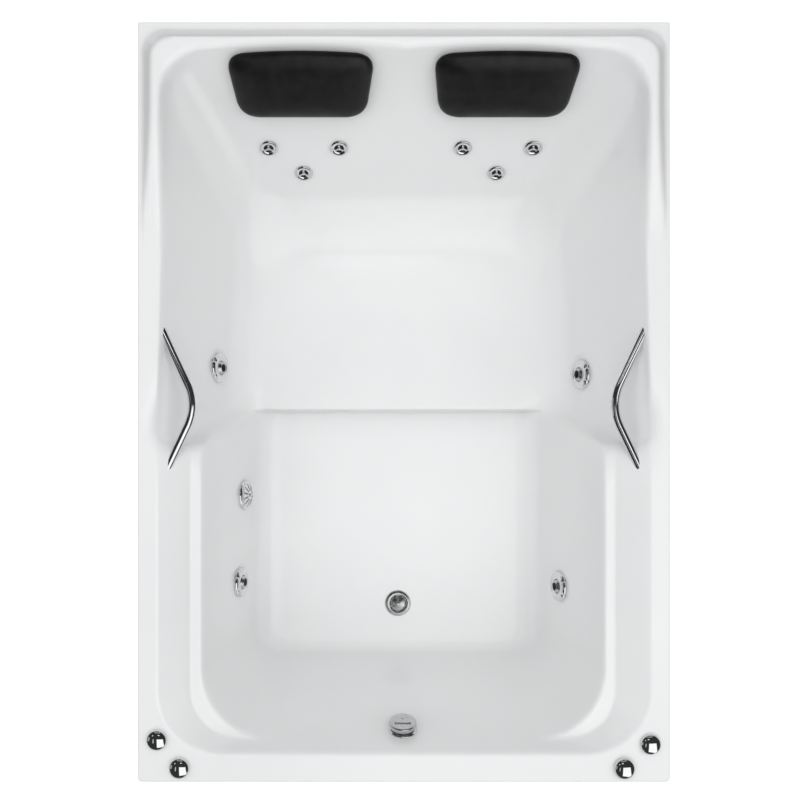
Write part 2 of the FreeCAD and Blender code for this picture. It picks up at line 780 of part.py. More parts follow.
def fitting_nut(place):
    nut = hexagon(NUT_R, NUT_HEIGHT, FITTING_BODY_R, -WALL - NUT_HEIGHT)
    return at(nut, place)


def fitting_body(depth):
    """Threaded body with a flange on the basin side and a closed rear end."""
    flange = Part.makeCylinder(FITTING_FLANGE_R, FITTING_FLANGE, V(0, 0, GASKET))
    barrel = Part.makeCylinder(FITTING_BODY_R, depth + GASKET, V(0, 0, -depth))
    return flange.fuse(barrel)


def fitting_cavity(depth):
    length = depth - FITTING_END_WALL + GASKET + FITTING_FLANGE
    return Part.makeCylinder(FITTING_BORE_R, length, V(0, 0, FITTING_END_WALL - depth))


def hose_start(place, offset):
    """Where a barb leaves the body's axis, shifted along the tub for water or air."""
    return place.multVec(V(0, 0, -FITTING_DEPTH * 0.7)) + V(0, offset, 0)


def jet_hoses(place, side):
    """(start, direction, line point) of the water hose and the air hose of one side jet."""
    hoses = []
    water = (-BARB_SPACING / 2, SIDE_LINE_X, LINE_Z)
    air = (BARB_SPACING / 2, AIR_LINE_X, AIR_LINE_Z)
    for offset, line_x, line_z in (water, air):
        start = hose_start(place, offset)
        goal = V(side * line_x, start.y, line_z)
        hoses.append((start, (goal - start).normalize(), goal))
    return hoses


def barb(start, direction, body_r):
    return cylinder(BARB_R, start, start + direction * (body_r + BARB_LENGTH))


def barb_bore(start, direction, body_r):
    return cylinder(BARB_BORE_R, start, start + direction * (body_r + BARB_LENGTH + 1))


def hose_blank(start, direction, goal, body_r):
    return cylinder(HOSE_R, start + direction * (body_r + HOSE_GAP), goal)


def hose_bore(start, direction, goal, body_r):
    over_barb = cylinder(BARB_R, start + direction * body_r, start + direction * (body_r + BARB_LENGTH))
    return over_barb.fuse(cylinder(BARB_BORE_R, start + direction * body_r, goal))


def side_jet_body(place, side):
    body = at(fitting_body(FITTING_DEPTH), place)
    hoses = jet_hoses(place, side)
    barbs = [barb(start, direction, FITTING_BODY_R) for start, direction, _ in hoses]
    bores = [barb_bore(start, direction, FITTING_BODY_R) for start, direction, _ in hoses]
    return body.multiFuse(barbs).cut(at(fitting_cavity(FITTING_DEPTH), place)).cut(Part.makeCompound(bores))


def jet_ring():
    """Turning trim ring: a dished face with finger lobes, and a skirt round the body's flange."""
    flange_top = GASKET + FITTING_FLANGE
    opening = FITTING_BORE_R - 1.6
    inner = FITTING_FLANGE_R + MOVING_GAP
    ring = spin([
        (opening, flange_top + 4.2),
        (opening, JET_RING_HEIGHT - 2),
        (opening + 3, JET_RING_HEIGHT - 1),
        (opening + 10, JET_RING_HEIGHT + 1),
        (JET_RING_R - 3.5, JET_RING_HEIGHT - 2),
        (JET_RING_R - 1, JET_RING_HEIGHT - 4),
        (JET_RING_R, JET_RING_HEIGHT - 7),
        (JET_RING_R, MOVING_GAP),
        (inner, MOVING_GAP),
        (inner, flange_top + MOVING_GAP),
        (FITTING_BORE_R + 2, flange_top + MOVING_GAP),
    ])
    lobes = []
    for k in range(6):
        turn = math.pi / 3 * k
        centre = V((JET_RING_R + 3) * math.cos(turn), (JET_RING_R + 3) * math.sin(turn), JET_RING_HEIGHT - 5)
        lobes.append(Part.makeCylinder(5.5, 8, centre))
    return ring.cut(Part.makeCompound(lobes))


def jet_nozzle():
    """Eyeball nozzle: a ball, cut off at the rear, with a short flared outlet tube."""
    lip_turn = math.degrees(math.acos(NOZZLE_TUBE_R / NOZZLE_BALL_R))
    ball = arc_points((0, 0), NOZZLE_BALL_R, -NOZZLE_REAR_TURN, lip_turn, 8)
    return spin(ball + [
        (NOZZLE_TUBE_R, NOZZLE_REACH),
        (NOZZLE_TUBE_R - 1.5, NOZZLE_REACH),
        (NOZZLE_BORE_R, NOZZLE_REACH - 8),
        (NOZZLE_BORE_R, 8 - NOZZLE_BALL_R),
        (ball[0][0] - 2, ball[0][1])])


def suction_neck():
    """Start and direction of the suction body's neck, which points towards the head end."""
    start = SUCTION_PLACE.multVec(V(0, 0, -SUCTION_DEPTH * 0.62))
    return start, ALONG_Y


def suction_body():
    start, direction = suction_neck()
    neck_end = start + direction * (FITTING_BODY_R + BARB_LENGTH)
    body = at(fitting_body(SUCTION_DEPTH), SUCTION_PLACE)
    body = body.fuse(cylinder(SUCTION_LINE_R - LINE_GAUGE, start, neck_end))
    post_low = V(0, 0, GASKET + FITTING_FLANGE - SUCTION_POST)
    post = Part.makeCylinder(5, SUCTION_POST, post_low)
    spokes = box(-FITTING_BORE_R - 1, FITTING_BORE_R + 1, -1.5, 1.5, -8, 0)
    spokes = spokes.fuse(box(-1.5, 1.5, -FITTING_BORE_R - 1, FITTING_BORE_R + 1, -8, 0))
    post = post.fuse(spokes).cut(Part.makeCylinder(2.5, SUCTION_POST, post_low))
    body = body.cut(at(fitting_cavity(SUCTION_DEPTH), SUCTION_PLACE))
    body = body.cut(cylinder(SUCTION_LINE_R - 2 * LINE_GAUGE, start, neck_end))
    return body.fuse(at(post, SUCTION_PLACE))


def suction_cover():
    """Domed strainer with radial slots, screwed over the suction body."""
    flange_top = GASKET + FITTING_FLANGE
    rise = flange_top + SUCTION_DOME
    shell = spin([
        (2.7, rise - 2.5),
        (2.7, rise),
        (7, rise),
        (JET_RING_R * 0.55, rise - 2),
        (JET_RING_R * 0.85, rise - 6),
        (JET_RING_R - 2, flange_top + 3),
        (JET_RING_R, flange_top),
        (JET_RING_R, MOVING_GAP),
        (FITTING_FLANGE_R, MOVING_GAP),
        (FITTING_FLANGE_R, flange_top),
        (JET_RING_R - 6, flange_top),
        (JET_RING_R * 0.55, rise - 4.5),
        (7.7, rise - 2.5),
    ])
    boss = tube(5, 2.7, V(0, 0, flange_top), V(0, 0, rise - 2))
    slots = []
    for k in range(SUCTION_SLOTS):
        slot = box(11, JET_RING_R - 8, -1.5, 1.5, flange_top, rise + 1)
        slot.rotate(V(0, 0, 0), UP, 360 / SUCTION_SLOTS * k)
        slots.append(slot)
    return at(shell.fuse(boss).cut(Part.makeCompound(slots)), SUCTION_PLACE)


def suction_screw():
    rise = GASKET + FITTING_FLANGE + SUCTION_DOME
    screw = spin([(0, rise - 20), (2.5, rise - 20), (2.5, rise)] + crown(5.5, rise, rise + 2.6))
    slot = box(-6, 6, -0.6, 0.6, rise + 1.4, rise + 4)
    return at(screw.cut(slot), SUCTION_PLACE)


def back_jet_hose(place):
    start = place.multVec(V(0, 0, -BACK_JET_DEPTH * 0.75))
    goal = V(start.x, HEAD_LINE_Y, LINE_Z)
    return start, (goal - start).normalize(), goal


def back_jet_body(place):
    body = spin([
        (0, -BACK_JET_DEPTH), (BACK_JET_BODY_R, -BACK_JET_DEPTH), (BACK_JET_BODY_R, 0),
        (BACK_JET_R - 2, 0), (BACK_JET_R - 2, 2.5), (0, 2.5)])
    body = at(body, place)
    start, direction, _ = back_jet_hose(place)
    cavity = at(Part.makeCylinder(BACK_JET_BODY_R - 3, BACK_JET_DEPTH, V(0, 0, 3 - BACK_JET_DEPTH)), place)
    body = body.fuse(barb(start, direction, BACK_JET_BODY_R)).cut(cavity)
    return body.cut(barb_bore(start, direction, BACK_JET_BODY_R))


def back_jet_face(place):
    """Snap-in face with three spray openings round a small hub."""
    face = spin([
        (BACK_JET_BODY_R - 4.5, 2.5 - 10), (BACK_JET_BODY_R - 3, 2.5 - 10), (BACK_JET_BODY_R - 3, 2.5),
        (BACK_JET_R - 2, 2.5), (BACK_JET_R - 2, 0.5), (BACK_JET_R, 0.5), (BACK_JET_R, 3.5),
        (BACK_JET_R - 1.5, 5.2), (BACK_JET_R - 5, 6), (BACK_JET_BODY_R - 2, 4.6)]
        + crown(5, 4.2, 5.6, 2) + [(0, 2), (BACK_JET_BODY_R - 4.5, 2)])
    openings = []
    for k in range(3):
        ring = tube(12, 4.5, V(0, 0, 0), V(0, 0, 8))
        rib = box(-14, 14, 0, 14, 0, 8)
        rib.rotate(V(0, 0, 0), UP, 60 + SPRAY_WEB)
        sector = ring.common(rib).common(box(-14, 14, 0, 14, 0, 8))
        sector.rotate(V(0, 0, 0), UP, 120 * k)
        openings.append(sector)
    return at(face.cut(Part.makeCompound(openings)), place)


def small_nut(place, wall):
    return at(hexagon(SMALL_NUT_R, SMALL_NUT_HEIGHT, BACK_JET_BODY_R, -wall - SMALL_NUT_HEIGHT), place)


# ---------------------------------------------------------------- water and air lines

def head_manifold():
    """Cross pipe behind the backrest: a socket towards each side line, a tee to the pump and six hose tails."""
    left = V(-SIDE_LINE_X, HEAD_LINE_Y, LINE_Z)
    right = V(SIDE_LINE_X, HEAD_LINE_Y, LINE_Z)
    blanks = [cylinder(HEAD_LINE_R, left, right)]
    bores = [cylinder(HEAD_LINE_R - LINE_GAUGE, left, right)]
    for end in (left, right):
        blanks.append(Part.makeSphere(HEAD_LINE_R, end))
        bores.append(Part.makeSphere(HEAD_LINE_R - LINE_GAUGE, end))
        socket = V(end.x, SIDE_LINE_START_Y - 15, LINE_Z)
        blanks.append(cylinder(HEAD_LINE_R, socket, end))
        bores.append(cylinder(SIDE_LINE_R, socket, V(end.x, SIDE_LINE_START_Y, LINE_Z)))
        bores.append(cylinder(SIDE_LINE_R - LINE_GAUGE, socket, end))
    riser = V(discharge_x(), HEAD_LINE_Y, discharge_top() + UNION_HEIGHT / 2)
    blanks.append(cylinder(HEAD_LINE_R, riser, V(riser.x, HEAD_LINE_Y, LINE_Z)))
    bores.append(cylinder(HEAD_LINE_R - LINE_GAUGE, riser, V(riser.x, HEAD_LINE_Y, LINE_Z)))
    for place in BACK_JET_PLACES:
        start, direction, goal = back_jet_hose(place)
        blanks.append(hose_blank(start, direction, goal, BACK_JET_BODY_R))
        bores.append(hose_bore(start, direction, goal, BACK_JET_BODY_R))
    return blanks[0].multiFuse(blanks[1:]).cut(Part.makeCompound(bores))


def side_line(side, names, x, z, radius, gauge, head_y, foot_y, which):
    """A straight line along one side with a hose down to each of its jets."""
    head = V(side * x, head_y, z)
    foot = V(side * x, foot_y, z)
    blanks = [cylinder(radius, foot, head)]
    bores = [cylinder(radius - gauge, foot + V(0, gauge, 0), head - V(0, gauge if which else 0, 0))]
    for name in names:
        start, direction, goal = jet_hoses(JET_PLACES[name], side)[which]
        blanks.append(hose_blank(start, direction, goal, FITTING_BODY_R))
        bores.append(hose_bore(start, direction, goal, FITTING_BODY_R))
    return blanks, bores


def water_line(side, names):
    blanks, bores = side_line(side, names, SIDE_LINE_X, LINE_Z, SIDE_LINE_R, LINE_GAUGE,
                              SIDE_LINE_START_Y, SIDE_LINE_END_Y, 0)
    return blanks[0].multiFuse(blanks[1:]).cut(Part.makeCompound(bores))


def air_line(side, names, controls):
    """Air pipe from the deck controls to the jets of one side."""
    outer_y = max(y for _, y in controls)
    blanks, bores = side_line(side, names, AIR_LINE_X, AIR_LINE_Z, AIR_LINE_R, AIR_LINE_GAUGE,
                              JET_PLACES[names[0]].Base.y + BARB_SPACING, outer_y, 1)
    for x, y in controls:
        top = V(x, y, DECK_Z - CONTROL_DEPTH - 4)
        low = V(x, y, AIR_LINE_Z)
        joint = V(side * AIR_LINE_X, outer_y, AIR_LINE_Z)
        points = [top, low] if y == outer_y and abs(x - side * AIR_LINE_X) < 1 else [top, low, joint]
        for start, end in zip(points, points[1:]):
            blanks.append(cylinder(AIR_LINE_R, start, end))
            blanks.append(Part.makeSphere(AIR_LINE_R, end))
            bores.append(cylinder(AIR_LINE_R - AIR_LINE_GAUGE, start, end))
            bores.append(Part.makeSphere(AIR_LINE_R - AIR_LINE_GAUGE, end))
    return blanks[0].multiFuse(blanks[1:]).cut(Part.makeCompound(bores))


def suction_line():
    start, direction = suction_neck()
    sleeve = start + direction * (FITTING_BODY_R + BARB_LENGTH / 2)
    inlet_x = VOLUTE_X - VOLUTE_WIDTH / 2 - 18
    points = [
        start + direction * (FITTING_BODY_R + 2),
        sleeve + direction * 40,
        V(SUCTION_LINE_X, STEP_Y, PUMP_Z),
        V(SUCTION_LINE_X, PUMP_Y, PUMP_Z),
        V(inlet_x, PUMP_Y, PUMP_Z),
    ]
    return pipe(points, 60, SUCTION_LINE_R, LINE_GAUGE)


# ---------------------------------------------------------------- deck controls

def deck_place(spot):
    return FreeCAD.Placement(V(spot[0], spot[1], DECK_Z), FreeCAD.Rotation())


def control_body(spot):
    """Air valve or air switch body hung through the deck, with its spindle standing up."""
    barrel = spin([
        (0, -CONTROL_DEPTH), (BACK_JET_BODY_R, -CONTROL_DEPTH), (BACK_JET_BODY_R, 0),
        (KNOB_R - 2 * KNOB_WALL, 0), (KNOB_R - 2 * KNOB_WALL, CONTROL_FLANGE), (SPINDLE_R, CONTROL_FLANGE),
        (SPINDLE_R, SPINDLE_RISE), (0, SPINDLE_RISE)])
    tail = Part.makeCylinder(AIR_LINE_R - AIR_LINE_GAUGE, 14, V(0, 0, -CONTROL_DEPTH - 14))
    bore = Part.makeCylinder(AIR_LINE_R - 2 * AIR_LINE_GAUGE, 44, V(0, 0, -CONTROL_DEPTH - 14))
    return at(barrel.fuse(tail).cut(bore), deck_place(spot))


def dome(lift, grip):
    """Polished dome knob, hollow underneath, socketed over the spindle."""
    skirt_z = MOVING_GAP + lift
    knob = spin([(KNOB_R, skirt_z)] + crown(KNOB_R, skirt_z + 4, skirt_z + KNOB_HEIGHT, 5) + [
        (0, SPINDLE_RISE + lift + 0.5), (SPINDLE_R + RUNNING, SPINDLE_RISE + lift + 0.5),
        (SPINDLE_R + RUNNING, CONTROL_FLANGE + lift + MOVING_GAP),
        (KNOB_R - KNOB_WALL, CONTROL_FLANGE + lift + MOVING_GAP), (KNOB_R - KNOB_WALL, skirt_z)])
    if not grip:
        return knob
    notches = []
    for k in range(8):
        turn = math.pi / 4 * k
        spot = V((KNOB_R + 1) * math.cos(turn), (KNOB_R + 1) * math.sin(turn), 0)
        notches.append(Part.makeCylinder(2, 6, spot))
    return knob.cut(Part.makeCompound(notches))


# ---------------------------------------------------------------- pump

def shaft_point(x):
    return V(x, PUMP_Y, PUMP_Z)


def along_shaft(shape):
    """Turns a piece made about Z so that its axis lies on the pump shaft, with Z measured along X."""
    turned = shape.copy()
    turned.rotate(V(0, 0, 0), ALONG_Y, 90)
    turned.translate(V(0, PUMP_Y, PUMP_Z))
    return turned


def discharge_x():
    return VOLUTE_X


def discharge_top():
    return PUMP_Z + VOLUTE_R + 12


def pump_volute():
    """Pump casing: round chamber, axial inlet and a discharge neck that rises tangentially."""
    front = VOLUTE_X - VOLUTE_WIDTH / 2
    back = VOLUTE_X + VOLUTE_WIDTH / 2
    casing = along_shaft(spin([
        (0, front - 40), (27, front - 40), (27, front - 8), (VOLUTE_R - 14, front),
        (VOLUTE_R - 3, front + 7), (VOLUTE_R, front + 18), (VOLUTE_R, back - 8),
        (VOLUTE_R + 8, back - 8), (VOLUTE_R + 8, back), (0, back)]))
    neck_base = V(discharge_x(), HEAD_LINE_Y, PUMP_Z)
    neck_top = V(discharge_x(), HEAD_LINE_Y, discharge_top())
    casing = casing.fuse(cylinder(DISCHARGE_R + 3, neck_base, neck_top))
    chamber = along_shaft(spin([
        (0, front + VOLUTE_WALL), (VOLUTE_R - 18, front + VOLUTE_WALL),
        (VOLUTE_R - VOLUTE_WALL, front + 20), (VOLUTE_R - VOLUTE_WALL, back), (0, back)]))
    inlet = cylinder(SUCTION_LINE_R, shaft_point(front - 40), shaft_point(front - 18))
    throat_end = shaft_point(front + VOLUTE_WALL + 1)
    throat = cylinder(SUCTION_LINE_R - LINE_GAUGE, shaft_point(front - 40), throat_end)
    outlet = cylinder(DISCHARGE_R - 2, neck_base, neck_top)
    return casing.cut(Part.makeCompound([chamber, inlet, throat, outlet]))


def pump_union():
    """Discharge union nut between the pump's neck and the manifold's riser."""
    low = V(discharge_x(), HEAD_LINE_Y, discharge_top())
    high = V(discharge_x(), HEAD_LINE_Y, discharge_top() + UNION_HEIGHT)
    collar = cylinder(DISCHARGE_R + 9, low, high)
    ribs = []
    for k in range(12):
        turn = math.pi / 6 * k
        offset = V((DISCHARGE_R + 9.5) * math.cos(turn), (DISCHARGE_R + 9.5) * math.sin(turn), 0)
        ribs.append(cylinder(2, low + offset, high + offset))
    seat = V(low.x, low.y, low.z + UNION_HEIGHT / 2)
    collar = collar.cut(cylinder(HEAD_LINE_R, seat, high)).cut(cylinder(DISCHARGE_R - 2, low, high))
    return collar.cut(Part.makeCompound(ribs))


def pump_back_plate():
    back = VOLUTE_X + VOLUTE_WIDTH / 2
    plate = along_shaft(spin([
        (SHAFT_R + 5, back), (VOLUTE_R + 8, back), (VOLUTE_R + 8, back + BACK_PLATE),
        (MOTOR_R, back + BACK_PLATE), (MOTOR_R - 8, MOTOR_X), (SHAFT_R + 5, MOTOR_X)]))
    return plate


def impeller():
    back = VOLUTE_X + VOLUTE_WIDTH / 2 - 4
    disc = along_shaft(spin([(SHAFT_R, back - 22), (14, back - 22), (14, back - 5), (IMPELLER_R, back - 5),
                             (IMPELLER_R, back - 2), (SHAFT_R, back - 2)]))
    vanes = []
    for k in range(6):
        start = V(13, 0, 0)
        via = V(32, 12, 0)
        end = V(IMPELLER_R - 1, 4, 0)
        inner = Part.Arc(start, via, end).toShape()
        outer = Part.Arc(end + V(0, 3, 0), via + V(0, 3, 0), start + V(0, 3, 0)).toShape()
        sides = [Part.makeLine(end, end + V(0, 3, 0)), Part.makeLine(start + V(0, 3, 0), start)]
        blade = Part.Face(Part.Wire([inner, sides[0], outer, sides[1]])).extrude(V(0, 0, 15))
        blade.rotate(V(0, 0, 0), UP, 60 * k)
        blade.translate(V(0, 0, back - 19.5))
        vanes.append(along_shaft(blade))
    return disc.multiFuse(vanes)


def pump_shaft():
    back = VOLUTE_X + VOLUTE_WIDTH / 2
    return cylinder(SHAFT_R, shaft_point(back - 26), shaft_point(MOTOR_X + MOTOR_LENGTH + 36))


def shaft_seal():
    """Mechanical seal ring held in the back plate round the shaft."""
    back = VOLUTE_X + VOLUTE_WIDTH / 2
    return along_shaft(spin([(SHAFT_R + RUNNING, back), (SHAFT_R + 5, back), (SHAFT_R + 5, back + 12),
                             (SHAFT_R + RUNNING, back + 12)]))


def motor_housing():
    """Finned motor body with a bearing boss at each end."""
    end = MOTOR_X + MOTOR_LENGTH
    blank = Part.makeCylinder(MOTOR_R - FIN_HEIGHT, MOTOR_LENGTH, V(0, 0, MOTOR_X))
    fins = []
    for k in range(FIN_COUNT):
        fin = box(0, MOTOR_R, -1.5, 1.5, MOTOR_X + 12, end - 12)
        fin.rotate(V(0, 0, 0), UP, 360 / FIN_COUNT * (k + 0.5))
        fins.append(fin)
    flanges = [Part.makeCylinder(MOTOR_R, 12, V(0, 0, z)) for z in (MOTOR_X, end - 12)]
    blank = blank.multiFuse(fins + flanges)
    bearing = SHAFT_R + RUNNING
    hollow = spin([
        (bearing, MOTOR_X), (bearing, MOTOR_X + 20), (MOTOR_R - FIN_HEIGHT - MOTOR_WALL, MOTOR_X + 20),
        (MOTOR_R - FIN_HEIGHT - MOTOR_WALL, end - 20), (bearing, end - 20), (bearing, end), (0, end),
        (0, MOTOR_X)])
    return along_shaft(blank.cut(hollow))


def cooling_fan():
    end = MOTOR_X + MOTOR_LENGTH
    hub = spin([(SHAFT_R, end + 6), (16, end + 6), (16, end + 32), (SHAFT_R, end + 32)])
    disc = spin([(16, end + 6), (FAN_R, end + 6), (FAN_R, end + 9), (16, end + 9)])
    blades = []
    for k in range(8):
        blade = box(14, FAN_R - 2, -1.2, 1.2, end + 9, end + 29)
        blade.rotate(V(0, 0, 0), UP, 45 * k)
        blades.append(blade)
    return along_shaft(hub.multiFuse([disc] + blades))


def fan_cover():
    """Cup over the fan with ring slots for the air."""
    end = MOTOR_X + MOTOR_LENGTH
    back = end + FAN_COVER_LENGTH
    cup = spin([(0, back), (0, back - 3), (MOTOR_R - 9, back - 3),
                (MOTOR_R - 3, end + FAN_COVER_LENGTH - 9), (MOTOR_R - 3, end), (MOTOR_R, end),
                (MOTOR_R, end + FAN_COVER_LENGTH - 8), (MOTOR_R - 8, end + FAN_COVER_LENGTH)])
    slots = []
    for k in range(12):
        slot = box(18, MOTOR_R - 14, -2.5, 2.5, end + FAN_COVER_LENGTH - 6, end + FAN_COVER_LENGTH + 2)
        slot.rotate(V(0, 0, 0), UP, 30 * k)
        slots.append(slot)
    return along_shaft(cup.cut(Part.makeCompound(slots)))


def pump_bracket():
    """Saddle bracket that carries the motor on two bars of the cradle."""
    half_depth = (CROSS_BAR_YS[3] - CROSS_BAR_YS[2] + RAIL_WIDTH) / 2
    middle = (CROSS_BAR_YS[3] + CROSS_BAR_YS[2]) / 2
    x0 = MOTOR_X + 40
    x1 = MOTOR_X + MOTOR_LENGTH - 40
    plate = box(x0, x1, middle - half_depth, middle + half_depth, BOARD_UNDER, BOARD_UNDER + 6)
    cradle_r = cylinder(MOTOR_R + FIN_CLEARANCE, shaft_point(x0), shaft_point(x1))
    webs = []
    for x in (x0 + 8, x1 - 18):
        web = box(x, x + 10, middle - 45, middle + 45, BOARD_UNDER + 6, PUMP_Z - 20)
        webs.append(web.cut(cradle_r))
    return plate.multiFuse(webs)


def terminal_box():
    x = MOTOR_X + MOTOR_LENGTH / 2
    base_z = PUMP_Z + MOTOR_R - 14
    case = box(x - 45, x + 45, PUMP_Y - 32, PUMP_Y + 32, base_z, base_z + 56)
    corners = [e for e in case.Edges if e.BoundBox.ZLength > 50]
    case = case.makeFillet(8, corners)
    case = case.cut(box(x - 41, x + 41, PUMP_Y - 28, PUMP_Y + 28, base_z + 16, base_z + 52))
    case = case.cut(cylinder(MOTOR_R + FIN_CLEARANCE, shaft_point(x - 60), shaft_point(x + 60)))
    gland_hole = cylinder(8, V(x + 30, PUMP_Y, gland_z()), V(x + 50, PUMP_Y, gland_z()))
    port = Part.makeCylinder(CABLE_R, 10, V(x, PUMP_Y, base_z + 50))
    return case.cut(gland_hole).cut(port)


def gland_z():
    return PUMP_Z + MOTOR_R + 20


def cable_gland():
    x = MOTOR_X + MOTOR_LENGTH / 2 + 45
    gland = spin([(5, -4), (8, -4), (8, 0), (12, 0), (12, 8), (9, 9), (8.6, 15), (6.5, 18), (5, 18)])
    gland.rotate(V(0, 0, 0), ALONG_Y, 90)
    gland.translate(V(x, PUMP_Y, gland_z()))
    return gland


# ---------------------------------------------------------------- drain and overflow

def drain_flange():
    """Drain flange with a cross of spokes low in its throat."""
    ring = spin([
        (STOPPER_R + 0.7, FLOOR_Z - 6), (STOPPER_R + 0.7, FLOOR_Z + 1.5),
        (STOPPER_R + 3, FLOOR_Z + 3.6), (STOPPER_R + 8, FLOOR_Z + 4),
        (DRAIN_FLANGE_R - 3, FLOOR_Z + 3), (DRAIN_FLANGE_R, FLOOR_Z),
        (DRAIN_BARREL_R, FLOOR_Z), (DRAIN_BARREL_R, shoe_top() - 10), (STOPPER_R + 0.7, shoe_top() - 10)])
    cross = [box(-STOPPER_R - 1, STOPPER_R + 1, -1.5, 1.5, BOARD_UNDER + 4, BOARD_UNDER + 9)]
    cross.append(box(-1.5, 1.5, -STOPPER_R - 1, STOPPER_R + 1, BOARD_UNDER + 4, BOARD_UNDER + 9))
    guide = Part.makeCylinder(5, 5, V(0, 0, BOARD_UNDER + 4))
    bore = Part.makeCylinder(3 + RUNNING, 5, V(0, 0, BOARD_UNDER + 4))
    flange = ring.multiFuse(cross + [guide]).cut(bore)
    flange.translate(V(0, DRAIN_Y, 0))
    return flange


def shoe_top():
    return BOARD_UNDER


def drain_stopper():
    """Pop-up stopper: a domed cap with a finger knob, on a stem through the flange's cross."""
    cap_z = FLOOR_Z + 0.5
    stopper = spin([
        (0, WASTE_Z + 6), (3, WASTE_Z + 6), (3, cap_z - 3), (STOPPER_R - 3, cap_z - 3), (STOPPER_R, cap_z),
        (STOPPER_R, cap_z + 2), (STOPPER_R - 2, cap_z + 3.6), (6, cap_z + 6), (5, cap_z + 8)]
        + crown(6.5, cap_z + 10.5, cap_z + 12.5))
    stopper.translate(V(0, DRAIN_Y, 0))
    return stopper


def drain_shoe():
    """Cup under the drain that turns the water into the waste pipe, with the cable's socket at its side."""
    low = WASTE_Z - WASTE_R - 6
    cup = Part.makeCylinder(DRAIN_BARREL_R + 6, shoe_top() - low, V(0, DRAIN_Y, low))
    branch_end = V(0, DRAIN_Y - 60, WASTE_Z)
    cup = cup.fuse(cylinder(WASTE_R + 4, V(0, DRAIN_Y, WASTE_Z), branch_end))
    socket = cylinder(CABLE_R + 3, V(cable_x(), DRAIN_Y - 26, WASTE_Z), V(cable_x(), DRAIN_Y - 4, WASTE_Z))
    cup = cup.fuse(socket)
    bores = [
        Part.makeCylinder(DRAIN_BARREL_R, 10, V(0, DRAIN_Y, shoe_top() - 10)),
        Part.makeCylinder(DRAIN_BARREL_R - 3, shoe_top() - low - 4, V(0, DRAIN_Y, low + 4)),
        cylinder(WASTE_R - WASTE_GAUGE, V(0, DRAIN_Y, WASTE_Z), branch_end),
        cylinder(WASTE_R, V(0, DRAIN_Y - 42, WASTE_Z), branch_end),
        cylinder(CABLE_R, V(cable_x(), DRAIN_Y - 26, WASTE_Z), V(cable_x(), DRAIN_Y - 14, WASTE_Z)),
    ]
    return cup.cut(Part.makeCompound(bores))


def cable_x():
    return DRAIN_BARREL_R + 8


def waste_pipe():
    """Horizontal waste run, the tee under the overflow and the outlet spigot."""
    start = V(0, DRAIN_Y - 42, WASTE_Z)
    tee = V(0, OUTLET_Y, WASTE_Z)
    top = V(0, OUTLET_Y, overflow_socket_z() + 12)
    outlet = V(0, OUTLET_Y, OUTLET_Z)
    blanks = [cylinder(WASTE_R, start, tee), cylinder(WASTE_R, outlet, top)]
    blanks.append(cylinder(WASTE_R + 3, tee + V(0, 0, -26), tee + V(0, 0, 26)))
    blanks.append(cylinder(WASTE_R + 3, tee + V(0, 26, 0), tee))
    inner = WASTE_R - WASTE_GAUGE
    bores = [cylinder(inner, start, tee), cylinder(inner, outlet, top)]
    return blanks[0].multiFuse(blanks[1:]).cut(Part.makeCompound(bores))


def overflow_socket_z():
    return OVERFLOW_Z - 66


def overflow_elbow():
    """Overflow body behind the wall: a flanged barrel that turns down into the waste pipe."""
    barrel_end = OVERFLOW_PLACE.multVec(V(0, 0, -44))
    turn = V(0, OUTLET_Y, barrel_end.z)
    low = V(0, OUTLET_Y, overflow_socket_z())
    blanks = [at(Part.makeCylinder(FITTING_BODY_R, 44, V(0, 0, -44)), OVERFLOW_PLACE)]
    blanks.append(cylinder(FITTING_BODY_R, low, turn))
    blanks.append(Part.makeSphere(FITTING_BODY_R, turn))
    boss = V(cable_x(), OUTLET_Y, overflow_socket_z() + 20)
    blanks.append(cylinder(CABLE_R + 3, boss, boss + V(0, 0, 24)))
    blanks.append(box(10, cable_x(), OUTLET_Y - 5, OUTLET_Y + 5, boss.z + 6, boss.z + 20))
    bores = [at(Part.makeCylinder(FITTING_BORE_R, 44, V(0, 0, -44)), OVERFLOW_PLACE)]
    bores.append(cylinder(WASTE_R - WASTE_GAUGE, low, turn))
    bores.append(Part.makeSphere(FITTING_BORE_R, turn))
    bores.append(cylinder(WASTE_R, low, V(0, OUTLET_Y, overflow_socket_z() + 12)))
    bores.append(cylinder(CABLE_R, boss, boss + V(0, 0, 12)))
    elbow = blanks[0].multiFuse(blanks[1:]).cut(Part.makeCompound(bores))
    # the barrel carries a thin cross that holds the dial's spindle
    spokes = [Part.makeBox(2 * FITTING_BORE_R + 2, 3, 8, V(-FITTING_BORE_R - 1, -1.5, -8))]
    spokes.append(Part.makeBox(3, 2 * FITTING_BORE_R + 2, 8, V(-1.5, -FITTING_BORE_R - 1, -8)))
    hub = Part.makeCylinder(7, 8, V(0, 0, -8))
    spider = fused(spokes + [hub]).cut(Part.makeCylinder(4 + RUNNING, 8, V(0, 0, -8)))
    return elbow.fuse(at(spider, OVERFLOW_PLACE))


def overflow_plate():
    """Trim ring round the overflow opening."""
    ring = spin([
        (FITTING_BODY_R, 0), (OVERFLOW_R, 0), (OVERFLOW_R, 3), (OVERFLOW_R - 2, 6), (OVERFLOW_R - 6, 7),
        (FITTING_BODY_R + 2, 6), (FITTING_BODY_R, 4)])
    return at(ring, OVERFLOW_PLACE)


def overflow_nut():
    return at(hexagon(NUT_R, NUT_HEIGHT, FITTING_BODY_R, -WALL - NUT_HEIGHT), OVERFLOW_PLACE)


